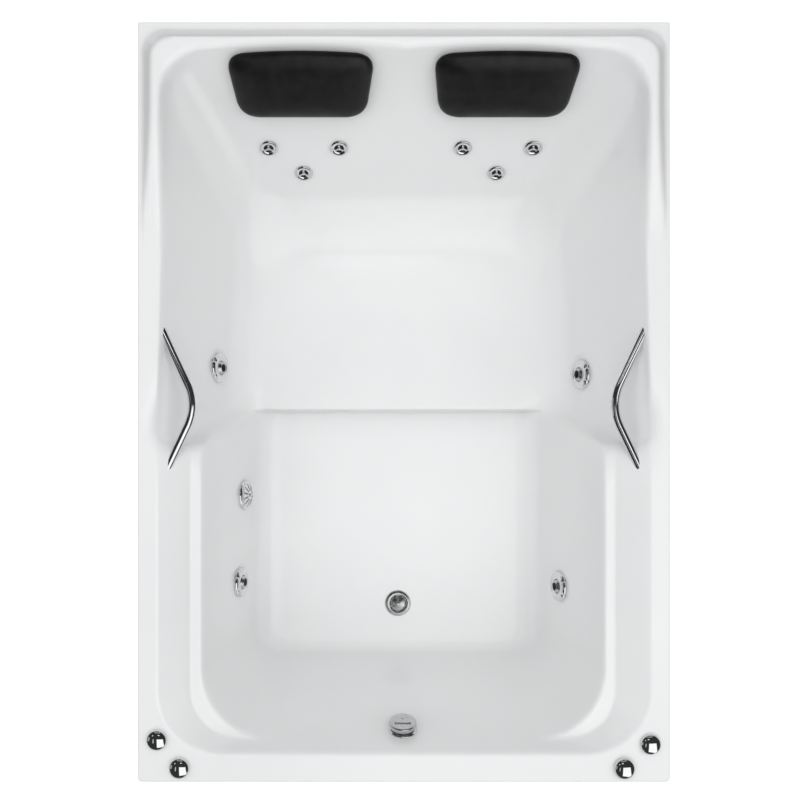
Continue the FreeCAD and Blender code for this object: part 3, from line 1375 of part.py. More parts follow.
def overflow_dial():
    """Rotary dial that stands off the plate, with a finger recess and its spindle."""
    top = DIAL_STAND + DIAL_HEIGHT
    dial = spin([
        (0, -12), (4, -12), (4, 0.5), (8, 0.5), (8, DIAL_STAND), (DIAL_R - 1, DIAL_STAND),
        (DIAL_R, DIAL_STAND + 1), (DIAL_R, top - 3), (DIAL_R - 0.9, top - 0.9), (DIAL_R - 3, top), (0, top)])
    recess = box(-DIAL_R * 0.58, DIAL_R * 0.58, 4, 14, top - 3, top + 1)
    screw = Part.makeCylinder(2.4, 2, V(0, -9, top - 1.5))
    return at(dial.cut(recess).cut(screw), OVERFLOW_PLACE)


# ---------------------------------------------------------------- grab bars and pillows

def grab_bar(side):
    return rod(bar_points(side), BAR_BEND_R, BAR_R)


def grab_bar_nuts(side):
    nuts = []
    first, apex, last = bar_points(side)
    for end in (first, last):
        inwards = (apex - end).normalize()
        start = end + inwards * (BAR_TAIL - BAR_NUT_FROM_WALL - BAR_NUT_HEIGHT)
        nuts.append(tube(BAR_NUT_R, BAR_R, start, start + inwards * BAR_NUT_HEIGHT))
    return nuts


def pillow_place(side):
    return back_place(side * PILLOW_X, PILLOW_Y)


def pillow_outline(height, scale):
    """Rounded trapezoid, wider at its top edge, which bows up; the lower inner corner is the roundest."""
    half = PILLOW_WIDTH / 2 * scale
    low = half - PILLOW_TAPER
    top = PILLOW_LENGTH / 2 * scale
    r = PILLOW_CORNER_R * scale
    bow = PILLOW_BOW * scale
    cut = r * (1 - math.sqrt(0.5))
    points = [
        V(-low + r, -top, height), V(low - r, -top, height),
        V(low - cut, -top + cut, height), V(low + 3, -top + r, height),
        V(half, top - r, height), V(half - cut, top - cut, height),
        V(half - r, top, height), V(0, top + bow, height),
        V(-half + r, top, height), V(-half + cut, top - cut, height), V(-half, top - r, height),
        V(-low - 3, -top + r, height), V(-low + cut, -top + cut, height)]
    edges = [
        Part.makeLine(points[0], points[1]),
        Part.Arc(points[1], points[2], points[3]).toShape(),
        Part.makeLine(points[3], points[4]),
        Part.Arc(points[4], points[5], points[6]).toShape(),
        Part.Arc(points[6], points[7], points[8]).toShape(),
        Part.Arc(points[8], points[9], points[10]).toShape(),
        Part.makeLine(points[10], points[11]),
        Part.Arc(points[11], points[12], points[0]).toShape(),
    ]
    return Part.Wire(edges)


def pillow(side):
    """Soft neck pillow: drawn in at the wall, full at the waist and crowned in front."""
    layers = []
    for k in range(4):
        turn = math.pi / 2 * k / 4
        layers.append((PILLOW_WAIST * math.sin(turn), 1 - PILLOW_TUCK * (1 - math.sin(turn))))
    for k in range(7):
        turn = math.pi / 2 * k / 6
        share = PILLOW_WAIST + (1 - PILLOW_WAIST) * math.sin(turn)
        layers.append((share, 1 - PILLOW_CROWN * (1 - math.cos(turn)) ** 1.2))
    wires = [pillow_outline(PILLOW_OFF_WALL + PILLOW_THICKNESS * share, scale) for share, scale in layers]
    return at(Part.makeLoft(wires, True, True), pillow_place(side))


def cup_rest(x):
    """Height over the slope at which a cup's rim clears the shallow arch of the backrest."""
    place = back_place(x, PILLOW_Y)
    level = head_level(place.Base.z + CUP_R * math.sin(BACK_PITCH))
    arch_mid = (level.back_half - level.r_back) / 2
    bend = level.dip * ((abs(abs(x) - arch_mid) + CUP_R) / arch_mid) ** 2
    return SOFT_GAP + bend * math.sin(BACK_PITCH)


def pillow_cups(side):
    cups = []
    for offset in (-CUP_X, CUP_X):
        low = cup_rest(side * PILLOW_X + offset)
        cup = spin([(0, low), (CUP_R, low), (CUP_R, low + 1), (6, low + 3),
                    (6, PILLOW_OFF_WALL - SOFT_GAP), (0, PILLOW_OFF_WALL - SOFT_GAP)])
        cup.translate(V(offset, 0, 0))
        cups.append(at(cup, pillow_place(side)))
    return cups


# ---------------------------------------------------------------- the whole tub

def build():
    save("bath_shell", bath_shell())
    save("base_board", base_board())
    save("seat_bearers", *seat_bearers())
    save("steel_cradle", steel_cradle())
    save("levelling_studs", *[levelling_stud(x, y) for x, y in foot_spots()])
    save("stud_lock_nuts", *[nut for x, y in foot_spots() for nut in lock_nuts(x, y)])
    save("foot_pads", *[foot_pad(x, y) for x, y in foot_spots()])

    fitting_places = list(JET_PLACES.values()) + [SUCTION_PLACE]
    save("fitting_gaskets", *[fitting_gasket(place) for place in fitting_places])
    save("fitting_nuts", *[fitting_nut(place) for place in fitting_places], overflow_nut())
    bodies = []
    for name, place in JET_PLACES.items():
        bodies.append(side_jet_body(place, -1 if name.endswith("left") else 1))
        save("jet_ring_" + name, at(jet_ring(), place))
        save("jet_nozzle_" + name, at(jet_nozzle(), place))
    save("side_jet_bodies", *bodies)
    save("suction_body", suction_body())
    save("suction_cover", suction_cover())
    save("suction_screw", suction_screw())
    save("suction_line", suction_line())
    save("back_jet_bodies", *[back_jet_body(place) for place in BACK_JET_PLACES])
    save("back_jet_faces", *[back_jet_face(place) for place in BACK_JET_PLACES])

    save("head_manifold", head_manifold())
    left = ("head_left", "foot_left")
    right = ("head_right", "foot_right")
    save("side_water_lines", water_line(-1, left), water_line(1, right))
    save("side_air_lines", air_line(-1, left, (CONTROL_LEFT_OUTER, CONTROL_LEFT_INNER)),
         air_line(1, right, (CONTROL_RIGHT_OUTER,)))

    save("deck_control_bodies", *[control_body(spot) for spot in DECK_CONTROLS])
    nuts = [small_nut(place, WALL) for place in BACK_JET_PLACES]
    nuts += [small_nut(deck_place(spot), WALL) for spot in DECK_CONTROLS]
    save("small_nuts", *nuts)
    save("air_knob_left_outer", at(dome(0, True), deck_place(CONTROL_LEFT_OUTER)))
    save("air_knob_left_inner", at(dome(0, True), deck_place(CONTROL_LEFT_INNER)))
    save("air_knob_right_outer", at(dome(0, True), deck_place(CONTROL_RIGHT_OUTER)))
    save("pump_button", at(dome(BUTTON_TRAVEL, False), deck_place(CONTROL_RIGHT_INNER)))

    save("pump_volute", pump_volute())
    save("pump_union", pump_union())
    save("pump_back_plate", pump_back_plate())
    save("impeller", impeller())
    save("pump_shaft", pump_shaft())
    save("shaft_seal", shaft_seal())
    save("motor_housing", motor_housing())
    save("cooling_fan", cooling_fan())
    save("fan_cover", fan_cover())
    save("pump_bracket", pump_bracket())
    save("terminal_box", terminal_box())
    save("cable_gland", cable_gland())

    save("drain_flange", drain_flange())
    save("drain_stopper", drain_stopper())
    save("drain_shoe", drain_shoe())
    save("waste_pipe", waste_pipe())
    save("overflow_elbow", overflow_elbow())
    save("overflow_plate", overflow_plate())
    save("overflow_dial", overflow_dial())

    save("grab_bars", *[grab_bar(side) for side in SIDES])
    save("grab_bar_nuts", *[nut for side in SIDES for nut in grab_bar_nuts(side)])
    save("pillow_left", pillow(-1))
    save("pillow_right", pillow(1))
    save("pillow_cups", *[cup for side in SIDES for cup in pillow_cups(side)])


build()
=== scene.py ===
import json
import math

import bmesh
import bpy
import numpy as np
from mathutils import Matrix, Vector


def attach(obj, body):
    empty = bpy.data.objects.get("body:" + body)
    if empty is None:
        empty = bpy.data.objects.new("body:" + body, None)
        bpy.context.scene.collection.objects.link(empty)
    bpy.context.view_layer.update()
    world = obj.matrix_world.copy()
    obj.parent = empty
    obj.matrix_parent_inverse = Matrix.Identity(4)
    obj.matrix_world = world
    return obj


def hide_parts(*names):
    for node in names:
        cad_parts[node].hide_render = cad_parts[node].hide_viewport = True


# The looks of a two-person jetted bathtub. Shapes are worked out in millimetres and stored in metres.

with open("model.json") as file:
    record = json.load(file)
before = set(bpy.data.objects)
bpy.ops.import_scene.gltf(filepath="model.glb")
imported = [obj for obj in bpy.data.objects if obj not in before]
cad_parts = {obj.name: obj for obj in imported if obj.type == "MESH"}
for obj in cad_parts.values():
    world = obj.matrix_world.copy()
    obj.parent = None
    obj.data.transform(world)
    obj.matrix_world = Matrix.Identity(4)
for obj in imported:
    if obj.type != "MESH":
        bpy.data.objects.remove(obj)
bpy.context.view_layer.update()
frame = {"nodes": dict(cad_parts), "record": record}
NODES = frame["nodes"]
MM = 0.001
TAU = 2 * math.pi

# Shell dimensions, as in the solids
RIM_X, RIM_Y, DECK, WALL, LIP = 630.0, 900.0, 560.0, 6.0, 35.0
CREST = 605.0
CREST_START, CREST_FULL = 348.0, 720.0
SEAT, STEP_Y, STEP_TOP_Y = 190.0, -25.0, -104.0
HEAD_HALF, HEAD_LEAN, HEAD_TAPER, SEAT_FILLET = 588.0, 0.404, 25.0, 110.0
PITCH, BACK_TOP, BACK_BLEND = math.radians(52.0), 841.0, 250.0
BACK_CORNER, CREST_CORNER, SEAT_FRONT_R = 130.0, 95.0, 28.0
ARCH_DIP, ARCH_START, CREST_ROLL = 15.0, 430.0, 12.0
FLOOR, FOOT_DECK_Y, FOOT_END_LEAN, FOOT_END_FILLET = 130.0, -833.0, 0.35, 30.0
LEDGE, LEDGE_HALF, LEDGE_WIDTH, DECK_OPENING = 508.0, 487.0, 28.0, 585.0
FOOT_LEAN, FLOOR_FILLET = 0.297, 70.0
FLOOR_CORNER, LEDGE_CORNER, LEDGE_EDGE_CORNER, DECK_CORNER = 50.0, 170.0, 120.0, 150.0
BLEND_TOP = SEAT + BACK_BLEND * (1 - math.cos(PITCH))
FILLET_TOP = FLOOR + FLOOR_FILLET * (1 - FOOT_LEAN)
CREST_HALF_X, CREST_END_Y, CREST_DRAFT, CREST_OUTER_CORNER = 625.0, 883.0, 31.0, 52.0
LEDGE_CURVE, CREST_SIDE_CURVE, CREST_END_CURVE, ARCH_LEAST = 1.2, 0.62, 0.8, 0.5
DRAIN_Y, DRAIN_OPENING = -558.0, 22.0
RIM_EDGE_R, FOOT_CORNER_R = 3.0, 8.0

# Fittings: their heights, the flat round each (radius) and the opening under it (radius)
HEAD_JET_Z, FOOT_JET_Z, SUCTION_Z, OVERFLOW_Z = 295.0, 285.0, 255.0, 473.0
HEAD_JETS = (("head_left", -1, 89.0), ("head_right", 1, 72.0))
FOOT_FITTINGS = (("foot_left", -1, -473.0, FOOT_JET_Z), ("foot_right", 1, -484.0, FOOT_JET_Z),
                 ("suction", -1, -247.0, SUCTION_Z))
JET_FLAT, JET_OPENING = 43, 23
BACK_JET_FLAT, BACK_JET_OPENING = 26, 14
BACK_JETS = ((-338, 650), (-158, 650), (158, 650), (338, 650), (-252, 600), (252, 600))
OVERFLOW_FLAT, OVERFLOW_OPENING = 39, 23
FLAT_BLEND, FLAT_REACH, OPENING_REACH = 14, 40, 45


# ---------------------------------------------------------------- materials

class Look:
    """A node material under construction."""

    def __init__(self, name, colour, roughness, metallic=0.0, ior=1.5, coat=0.0, coat_roughness=0.03):
        self.material = bpy.data.materials.new(name)
        self.material.use_nodes = True
        self.nodes = self.material.node_tree.nodes
        self.links = self.material.node_tree.links
        self.shader = self.nodes["Principled BSDF"]
        self.set("Base Color", (*colour, 1.0))
        self.set("Roughness", roughness)
        self.set("Metallic", metallic)
        self.set("IOR", ior)
        self.set("Coat Weight", coat)
        self.set("Coat Roughness", coat_roughness)
        self.place = self.nodes.new("ShaderNodeTexCoord").outputs["Object"]
        self.bumps = None

    def set(self, socket, value):
        self.shader.inputs[socket].default_value = value

    def noise(self, scale, detail=3.0, rough=0.5, stretch=(1, 1, 1)):
        mapping = self.nodes.new("ShaderNodeMapping")
        mapping.inputs["Scale"].default_value = stretch
        self.links.new(self.place, mapping.inputs["Vector"])
        node = self.nodes.new("ShaderNodeTexNoise")
        node.inputs["Scale"].default_value = scale
        node.inputs["Detail"].default_value = detail
        node.inputs["Roughness"].default_value = rough
        self.links.new(mapping.outputs["Vector"], node.inputs["Vector"])
        return node.outputs["Fac"]

    def cells(self, scale):
        node = self.nodes.new("ShaderNodeTexVoronoi")
        node.inputs["Scale"].default_value = scale
        self.links.new(self.place, node.inputs["Vector"])
        return node.outputs["Distance"]

    def ramp(self, source, stops):
        node = self.nodes.new("ShaderNodeValToRGB")
        elements = node.color_ramp.elements
        while len(elements) < len(stops):
            elements.new(0.5)
        for element, (place, value) in zip(elements, stops):
            element.position = place
            element.color = (*value, 1.0) if isinstance(value, tuple) else (value, value, value, 1.0)
        self.links.new(source, node.inputs["Fac"])
        return node.outputs["Color"]

    def colour(self, source, stops):
        self.links.new(self.ramp(source, stops), self.shader.inputs["Base Color"])

    def roughness(self, source, low, high):
        node = self.nodes.new("ShaderNodeMapRange")
        node.inputs["From Min"].default_value = 0.3
        node.inputs["From Max"].default_value = 0.7
        node.inputs["To Min"].default_value = low
        node.inputs["To Max"].default_value = high
        self.links.new(source, node.inputs["Value"])
        self.links.new(node.outputs["Result"], self.shader.inputs["Roughness"])

    def bump(self, source, strength, depth):
        node = self.nodes.new("ShaderNodeBump")
        node.inputs["Strength"].default_value = strength
        node.inputs["Distance"].default_value = depth
        self.links.new(source, node.inputs["Height"])
        if self.bumps is not None:
            self.links.new(self.bumps, node.inputs["Normal"])
        self.bumps = node.outputs["Normal"]
        self.links.new(self.bumps, self.shader.inputs["Normal"])

    def edge_wear(self, base_stops_source, base_stops, worn, radius=0.0012):
        """Base colour from a texture, rubbed to another tone where the surface turns sharply."""
        bevel = self.nodes.new("ShaderNodeBevel")
        bevel.samples = 4
        bevel.inputs["Radius"].default_value = radius
        geometry = self.nodes.new("ShaderNodeNewGeometry")
        dot = self.nodes.new("ShaderNodeVectorMath")
        dot.operation = "DOT_PRODUCT"
        self.links.new(bevel.outputs["Normal"], dot.inputs[0])
        self.links.new(geometry.outputs["Normal"], dot.inputs[1])
        edge = self.ramp(dot.outputs["Value"], [(0.90, 1.0), (0.985, 0.0)])
        mix = self.nodes.new("ShaderNodeMix")
        mix.data_type = "RGBA"
        self.links.new(edge, mix.inputs["Factor"])
        self.links.new(self.ramp(base_stops_source, base_stops), mix.inputs["A"])
        mix.inputs["B"].default_value = (*worn, 1.0)
        self.links.new(mix.outputs["Result"], self.shader.inputs["Base Color"])


def make_looks():
    looks = {}

    acrylic = Look("acrylic", (0.80, 0.80, 0.80), 0.17, ior=1.49, coat=0.1, coat_roughness=0.05)
    acrylic.colour(acrylic.noise(2.2, 4, 0.55), [(0.3, (0.785, 0.787, 0.79)), (0.7, (0.815, 0.816, 0.818))])
    acrylic.roughness(acrylic.noise(9, 5, 0.6), 0.14, 0.20)
    acrylic.bump(acrylic.noise(26, 2, 0.4), 0.05, 0.0012)
    acrylic.bump(acrylic.noise(420, 2, 0.5), 0.03, 0.0002)
    looks["acrylic"] = acrylic

    chrome = Look("chrome", (0.78, 0.785, 0.80), 0.045, metallic=1.0)
    chrome.colour(chrome.noise(60, 4, 0.6), [(0.3, (0.74, 0.745, 0.76)), (0.7, (0.82, 0.825, 0.835))])
    chrome.roughness(chrome.noise(140, 5, 0.65), 0.03, 0.075)
    chrome.bump(chrome.noise(900, 2, 0.5), 0.04, 0.00005)
    looks["chrome"] = chrome

    satin = Look("satin_chrome", (0.6, 0.6, 0.61), 0.24, metallic=1.0)
    satin.colour(satin.noise(90, 4, 0.6), [(0.3, (0.52, 0.525, 0.53)), (0.7, (0.64, 0.645, 0.65))])
    satin.roughness(satin.noise(300, 4, 0.6), 0.18, 0.3)
    satin.bump(satin.noise(1200, 2, 0.5), 0.06, 0.00005)
    looks["satin_chrome"] = satin

    # Near-black; the side jets' bores take it as painted shade in their holes
    nozzle = Look("dark_nozzle", (0.03, 0.03, 0.033), 0.35)
    nozzle.colour(nozzle.noise(150, 3), [(0.3, (0.022, 0.022, 0.024)), (0.7, (0.05, 0.05, 0.054))])
    nozzle.roughness(nozzle.noise(240, 4), 0.28, 0.42)
    nozzle.bump(nozzle.noise(1500, 2), 0.08, 0.00006)
    looks["dark_nozzle"] = nozzle

    vinyl = Look("pillow_vinyl", (0.012, 0.012, 0.013), 0.36)
    vinyl.set("Specular IOR Level", 0.3)
    vinyl.colour(vinyl.noise(35, 4, 0.6), [(0.3, (0.004, 0.004, 0.0045)), (0.7, (0.010, 0.010, 0.011))])
    vinyl.roughness(vinyl.noise(24, 4, 0.6), 0.31, 0.42)
    vinyl.bump(vinyl.cells(520), 0.30, 0.00035)
    vinyl.bump(vinyl.noise(1400, 3, 0.6), 0.16, 0.00012)
    looks["pillow_vinyl"] = vinyl

    plain = {
        "white_plastic": ((0.70, 0.70, 0.69), (0.76, 0.76, 0.75), 0.34, 500),
        "white_pipe": ((0.72, 0.72, 0.715), (0.79, 0.79, 0.785), 0.27, 380),
        "black_plastic": ((0.020, 0.020, 0.022), (0.042, 0.042, 0.045), 0.38, 700),
        "black_rubber": ((0.018, 0.018, 0.018), (0.036, 0.035, 0.034), 0.62, 900),
        "seal_ring": ((0.50, 0.48, 0.45), (0.58, 0.56, 0.52), 0.3, 900),
        "motor_paint": ((0.045, 0.060, 0.075), (0.066, 0.083, 0.100), 0.36, 300),
    }
    for name, (low, high, rough, grain) in plain.items():
        look = Look(name, high, rough)
        worn = tuple(min(1.0, 1.5 * c + 0.03) for c in high)
        look.edge_wear(look.noise(14, 4, 0.6), [(0.3, low), (0.7, high)], worn)
        look.roughness(look.noise(60, 4, 0.6), rough * 0.8, rough * 1.25)
        look.bump(look.noise(grain, 3, 0.6), 0.12, 0.00012)
        looks[name] = look

    for name, low, high, rough, stretch in (
            ("galvanised_steel", (0.36, 0.37, 0.385), (0.56, 0.57, 0.585), 0.4, (1, 1, 1)),
            ("steel", (0.46, 0.465, 0.475), (0.6, 0.605, 0.61), 0.3, (1, 14, 1))):
        look = Look(name, high, rough, metallic=0.9)
        look.colour(look.cells(34) if name.startswith("galv") else look.noise(180, 3, 0.6, stretch),
                    [(0.15, low), (0.75, high)])
        look.roughness(look.noise(70, 5, 0.7, stretch), rough * 0.75, rough * 1.3)
        look.bump(look.noise(500, 3, 0.6, stretch), 0.1, 0.0001)
        looks[name] = look

    for name, low, high, stretch in (
            ("board", (0.26, 0.17, 0.095), (0.47, 0.34, 0.21), (9, 1.2, 9)),
            ("timber", (0.42, 0.28, 0.15), (0.60, 0.45, 0.28), (14, 0.9, 14))):
        look = Look(name, high, 0.6)
        grain = look.noise(7, 8, 0.68, stretch)
        look.edge_wear(grain, [(0.3, low), (0.7, high)], tuple(c * 1.15 for c in high), 0.002)
        look.roughness(grain, 0.52, 0.72)
        look.bump(grain, 0.3, 0.0005)
        look.bump(look.noise(260, 4, 0.6, (1, 0.1, 1)), 0.2, 0.0002)
        looks[name] = look

    # Near-black for the back jets' throats: painted shade in the hollow behind the spray sectors
    hollow = Look("dark_hollow", (0.012, 0.012, 0.013), 0.55)
    hollow.colour(hollow.noise(120, 3), [(0.3, (0.008, 0.008, 0.009)), (0.7, (0.02, 0.02, 0.021))])
    hollow.bump(hollow.noise(700, 2), 0.1, 0.0001)
    looks["dark_hollow"] = hollow
    return looks


LOOKS = make_looks()
SLOT_OF = {entry["node"]: entry["material_slot"] for entry in frame["record"]["subparts"]}


def dress(obj, look):
    """Gives an object one look in place of its materials."""
    obj.data.materials.clear()
    obj.data.materials.append(LOOKS[look].material)


def smooth(obj, degrees=35):
    """Smooth shading with creases kept sharp."""
    mesh = obj.data
    mesh.polygons.foreach_set("use_smooth", [True] * len(mesh.polygons))
    bm = bmesh.new()
    bm.from_mesh(mesh)
    limit = math.radians(degrees)
    for edge in bm.edges:
        edge.smooth = len(edge.link_faces) == 2 and edge.calc_face_angle(0) < limit
    bm.to_mesh(mesh)
    bm.free()


def piece(name, verts, faces, look, body="tub", node=None, crease=35):
    """A mesh given in millimetres that rides on a body and stands for CAD nodes."""
    mesh = bpy.data.meshes.new(name)
    mesh.from_pydata([(x * MM, y * MM, z * MM) for x, y, z in verts], [], faces)
    mesh.validate()
    obj = bpy.data.objects.new(name, mesh)
    bpy.context.scene.collection.objects.link(obj)
    dress(obj, look)
    smooth(obj, crease)
    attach(obj, body)
    if node:
        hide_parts(*([node] if isinstance(node, str) else node))
    return obj


# ---------------------------------------------------------------- shell as a height field

def ramp(z, low_z, high_z, low, high):
    return low + (high - low) * np.clip((z - low_z) / (high_z - low_z), 0, 1)


def filleted(z, floor_z, radius, lean, wall_at):
    """Half width of a leaning wall that runs into its floor through a fillet."""
    centre_z = floor_z + radius
    centre = wall_at(centre_z) - radius * math.hypot(1, lean)
    tangent_z = centre_z - radius * lean / math.hypot(1, lean)
    curve = centre + np.sqrt(np.maximum(radius ** 2 - (centre_z - z) ** 2, 0))
    return np.where(z >= tangent_z, wall_at(z), curve)


def head_half(z):
    """Half width between the head hollow's side walls at height z."""
    return filleted(z, SEAT, SEAT_FILLET, HEAD_LEAN, lambda h: HEAD_HALF - HEAD_LEAN * (DECK - h))


def back_line(z):
    """Where the backrest's straight slope lies at height z."""
    return BACK_TOP - (CREST - z) / math.tan(PITCH)


def backrest_y(z):
    """The backrest with its curve down to the seat."""
    seat_end = back_line(BLEND_TOP) - BACK_BLEND * math.sin(PITCH)
    curve = seat_end + np.sqrt(np.maximum(BACK_BLEND ** 2 - (BACK_BLEND - (z - SEAT)) ** 2, 0))
    return np.where(z >= BLEND_TOP, back_line(z), curve)


def foot_half(z):
    """Half width between the footwell's side walls at height z."""
    return filleted(z, FLOOR, FLOOR_FILLET, FOOT_LEAN, lambda h: LEDGE_HALF - FOOT_LEAN * (LEDGE - h))


def foot_end_wall(z):
    """Distance of the footwell's end wall from the middle at height z."""
    return -FOOT_DECK_Y - FOOT_END_LEAN * (DECK - z)


def corner_distance(dx, dy, radius):
    """Signed distance to a rounded corner, given how far a point is past each side."""
    inner_x = dx + radius
    inner_y = dy + radius
    outside = np.hypot(np.maximum(inner_x, 0), np.maximum(inner_y, 0)) - radius
    return np.where((inner_x > 0) & (inner_y > 0), outside, np.maximum(dx, dy))


def head_distance(x, y, z):
    """Signed distance to the head hollow's outline at height z: negative inside."""
    upright = np.maximum(z - DECK, 0) * HEAD_LEAN
    rise = np.clip(z - (CREST - CREST_ROLL), 0, CREST_ROLL)
    roll = CREST_ROLL - np.sqrt(CREST_ROLL ** 2 - rise ** 2)
    front_half = head_half(z) - upright
    back_half = front_half - HEAD_TAPER + roll
    front = ramp(z, SEAT, LEDGE, STEP_Y, STEP_TOP_Y)
    dip = ARCH_LEAST + ARCH_DIP * (np.maximum(z - ARCH_START, 0) / (CREST - ARCH_START)) ** 2
    back = backrest_y(np.minimum(z, CREST)) + roll
    r_back = ramp(z, BLEND_TOP, CREST, BACK_CORNER, CREST_CORNER)
    share = np.clip((y - front) / (back - dip - r_back - front), 0, 1)
    half = front_half + (back_half - front_half) * share
    arch = np.maximum(back_half - r_back, 1) / 2
    back_edge = back - dip * np.minimum(((x - arch) / arch) ** 2, 1)
    head_corner = corner_distance(x - half, y - back_edge, r_back)
    front_corner = corner_distance(x - half, front - y, SEAT_FRONT_R)
    return np.maximum(head_corner, front_corner)


def foot_distance(x, y, z):
    """Signed distance to the footwell's outline at height z."""
    over = z > LEDGE
    rise = np.clip((z - LEDGE) / (DECK - LEDGE), 0, 1)
    ledge_half = LEDGE_HALF + LEDGE_WIDTH
    half = np.where(over, ledge_half + (DECK_OPENING - ledge_half) * rise ** LEDGE_CURVE, foot_half(z))
    end = np.where(over, foot_end_wall(z),
                   filleted(z, FLOOR, FOOT_END_FILLET, FOOT_END_LEAN, foot_end_wall))
    corner = FLOOR_CORNER + FLOOR_FILLET / 2
    radius = np.where(z > FILLET_TOP, ramp(z, FILLET_TOP, LEDGE, corner, LEDGE_CORNER),
                      ramp(z, FLOOR, FILLET_TOP, FLOOR_CORNER, corner))
    radius = np.where(over, LEDGE_EDGE_CORNER + (DECK_CORNER - LEDGE_EDGE_CORNER) * rise, radius)
    back = np.where(z < SEAT, STEP_Y, -STEP_Y)
    return np.maximum(corner_distance(x - half, -end - y, radius), y - back)


def crest_distance(x, y, z):
    """Signed distance to the raised head section's outer outline."""
    share = np.maximum(z - DECK, 0) / (CREST - DECK)
    half = CREST_HALF_X - CREST_DRAFT * share ** CREST_SIDE_CURVE
    end = CREST_END_Y - CREST_DRAFT * share ** CREST_END_CURVE
    return corner_distance(x - half, y - end, CREST_OUTER_CORNER)


HALVINGS = 22


def surface_height(x, y, distance, low, high, grows):
    """Height where a point meets a family of outlines, by halving. grows: the outlines widen upwards."""
    bottom = np.full_like(x, low)
    top = np.full_like(x, high)
    for _ in range(HALVINGS):
        middle = (bottom + top) / 2
        inside = distance(x, y, middle) < 0
        if not grows:
            inside = ~inside
        top = np.where(inside, middle, top)
        bottom = np.where(inside, bottom, middle)
    return (bottom + top) / 2


def soft_min(a, b, blend):
    """The lower of two heights, with a rounded change from one to the other."""
    h = np.clip(0.5 + 0.5 * (b - a) / blend, 0, 1)
    return b * (1 - h) + a * h - blend * h * (1 - h)


def blurred(field, sigma, step):
    """Gaussian blur of a height field; sigma and step in millimetres."""
    reach = int(3 * sigma / step) + 1
    offsets = np.arange(-reach, reach + 1) * step
    kernel = np.exp(-0.5 * (offsets / sigma) ** 2)
    kernel /= kernel.sum()
    for axis in (0, 1):
        padded = np.pad(field, [(reach, reach) if a == axis else (0, 0) for a in (0, 1)], mode="edge")
        field = sum(k * np.take(padded, range(i, i + field.shape[axis]), axis) for i, k in enumerate(kernel))
    return field


GRID, GRID_MARGIN, ABOVE_ALL = 2.0, 60.0, 700.0
CREST_BLEND, EDGE_BLUR, FLANK_BLUR, STEP_BLUR = 9.0, 2.6, 7.0, 20.0
# Where the wider blurs hold: each pair is a place and the distance over which the blur fades in or out
STEP_BLUR_Y, STEP_BLUR_X = (-60.0, 75.0), (330.0, 70.0)
FLANK_BLUR_Y, FLANK_BLUR_X, FLANK_BLUR_END, FLANK_BLUR_SHARE = (330.0, 60.0), (540.0, 12.0), 612.0, 0.75


def fade_in(at, place):
    start, length = place
    return np.clip((at - start) / length, 0, 1)


def height_field():
    """Height of the shell's upper face over its right half and a margin past the middle line."""
    xs = np.arange(-GRID_MARGIN, RIM_X + 1, GRID)
    ys = np.arange(-RIM_Y, RIM_Y + 1, GRID)
    x, y = np.meshgrid(np.abs(xs), ys)
    head = surface_height(x, y, head_distance, SEAT, ABOVE_ALL, True)
    foot = surface_height(x, y, foot_distance, FLOOR, ABOVE_ALL, True)
    foot = np.where(foot > DECK - 0.01, ABOVE_ALL, foot)
    swell = np.clip((y - CREST_START) / (CREST_FULL - CREST_START), 0, 1)
    swell = DECK + (CREST - DECK) * swell ** 2 * (3 - 2 * swell)
    flank = surface_height(x, y, crest_distance, DECK, ABOVE_ALL, False)
    top = np.where(y > CREST_START, np.maximum(soft_min(flank, swell, CREST_BLEND), DECK), DECK)
    basin = np.minimum(head, foot)
    field = np.minimum(basin, top)
    # edges roll over softly; the raised section's flank and the ends of the seat's step are rounder still
    fine = blurred(field, EDGE_BLUR, GRID)
    rounder = blurred(field, FLANK_BLUR, GRID)
    widest = blurred(field, STEP_BLUR, GRID)
    step_y, step_reach = STEP_BLUR_Y
    near_step = np.exp(-((y - step_y) / step_reach) ** 2) * fade_in(x, STEP_BLUR_X)
    on_flank = fade_in(y, FLANK_BLUR_Y) * fade_in(x, FLANK_BLUR_X) * (x < FLANK_BLUR_END)
    on_flank = FLANK_BLUR_SHARE * on_flank
    rolled = fine * (1 - on_flank) + rounder * on_flank
    return xs, ys, rolled * (1 - near_step) + widest * near_step


def place_on(side, y, z, half, lean):
    """A place on a leaning side wall and the wall's inward normal."""
    normal = np.array([-side, 0, lean]) / math.hypot(1, lean)
    return np.array([side * half, y, z]), normal


def fitting_places():
    """(centre, inward normal, flat radius, opening radius) of each fitting set in a wall."""
    places = {}
    for name, side, y in HEAD_JETS:
        taper = HEAD_TAPER * (y - STEP_TOP_Y) / (BACK_TOP - STEP_TOP_Y)
        half = float(head_half(np.array(HEAD_JET_Z))) - taper
        places[name] = (*place_on(side, y, HEAD_JET_Z, half, HEAD_LEAN), JET_FLAT, JET_OPENING)
    for name, side, y, z in FOOT_FITTINGS:
        half = float(foot_half(np.array(z)))
        places[name] = (*place_on(side, y, z, half, FOOT_LEAN), JET_FLAT, JET_OPENING)
    slope = np.array([0, -math.sin(PITCH), math.cos(PITCH)])
    for k, (x, y) in enumerate(BACK_JETS):
        z = CREST - (BACK_TOP - y) * math.tan(PITCH)
        places["back_%d" % k] = (np.array([x, y, z], float), slope, BACK_JET_FLAT, BACK_JET_OPENING)
    end = np.array([0, 1, FOOT_END_LEAN]) / math.hypot(1, FOOT_END_LEAN)
    centre = np.array([0, -float(foot_end_wall(OVERFLOW_Z)), OVERFLOW_Z])
    places["overflow"] = (centre, end, OVERFLOW_FLAT, OVERFLOW_OPENING)
    return places


PLACES = fitting_places()


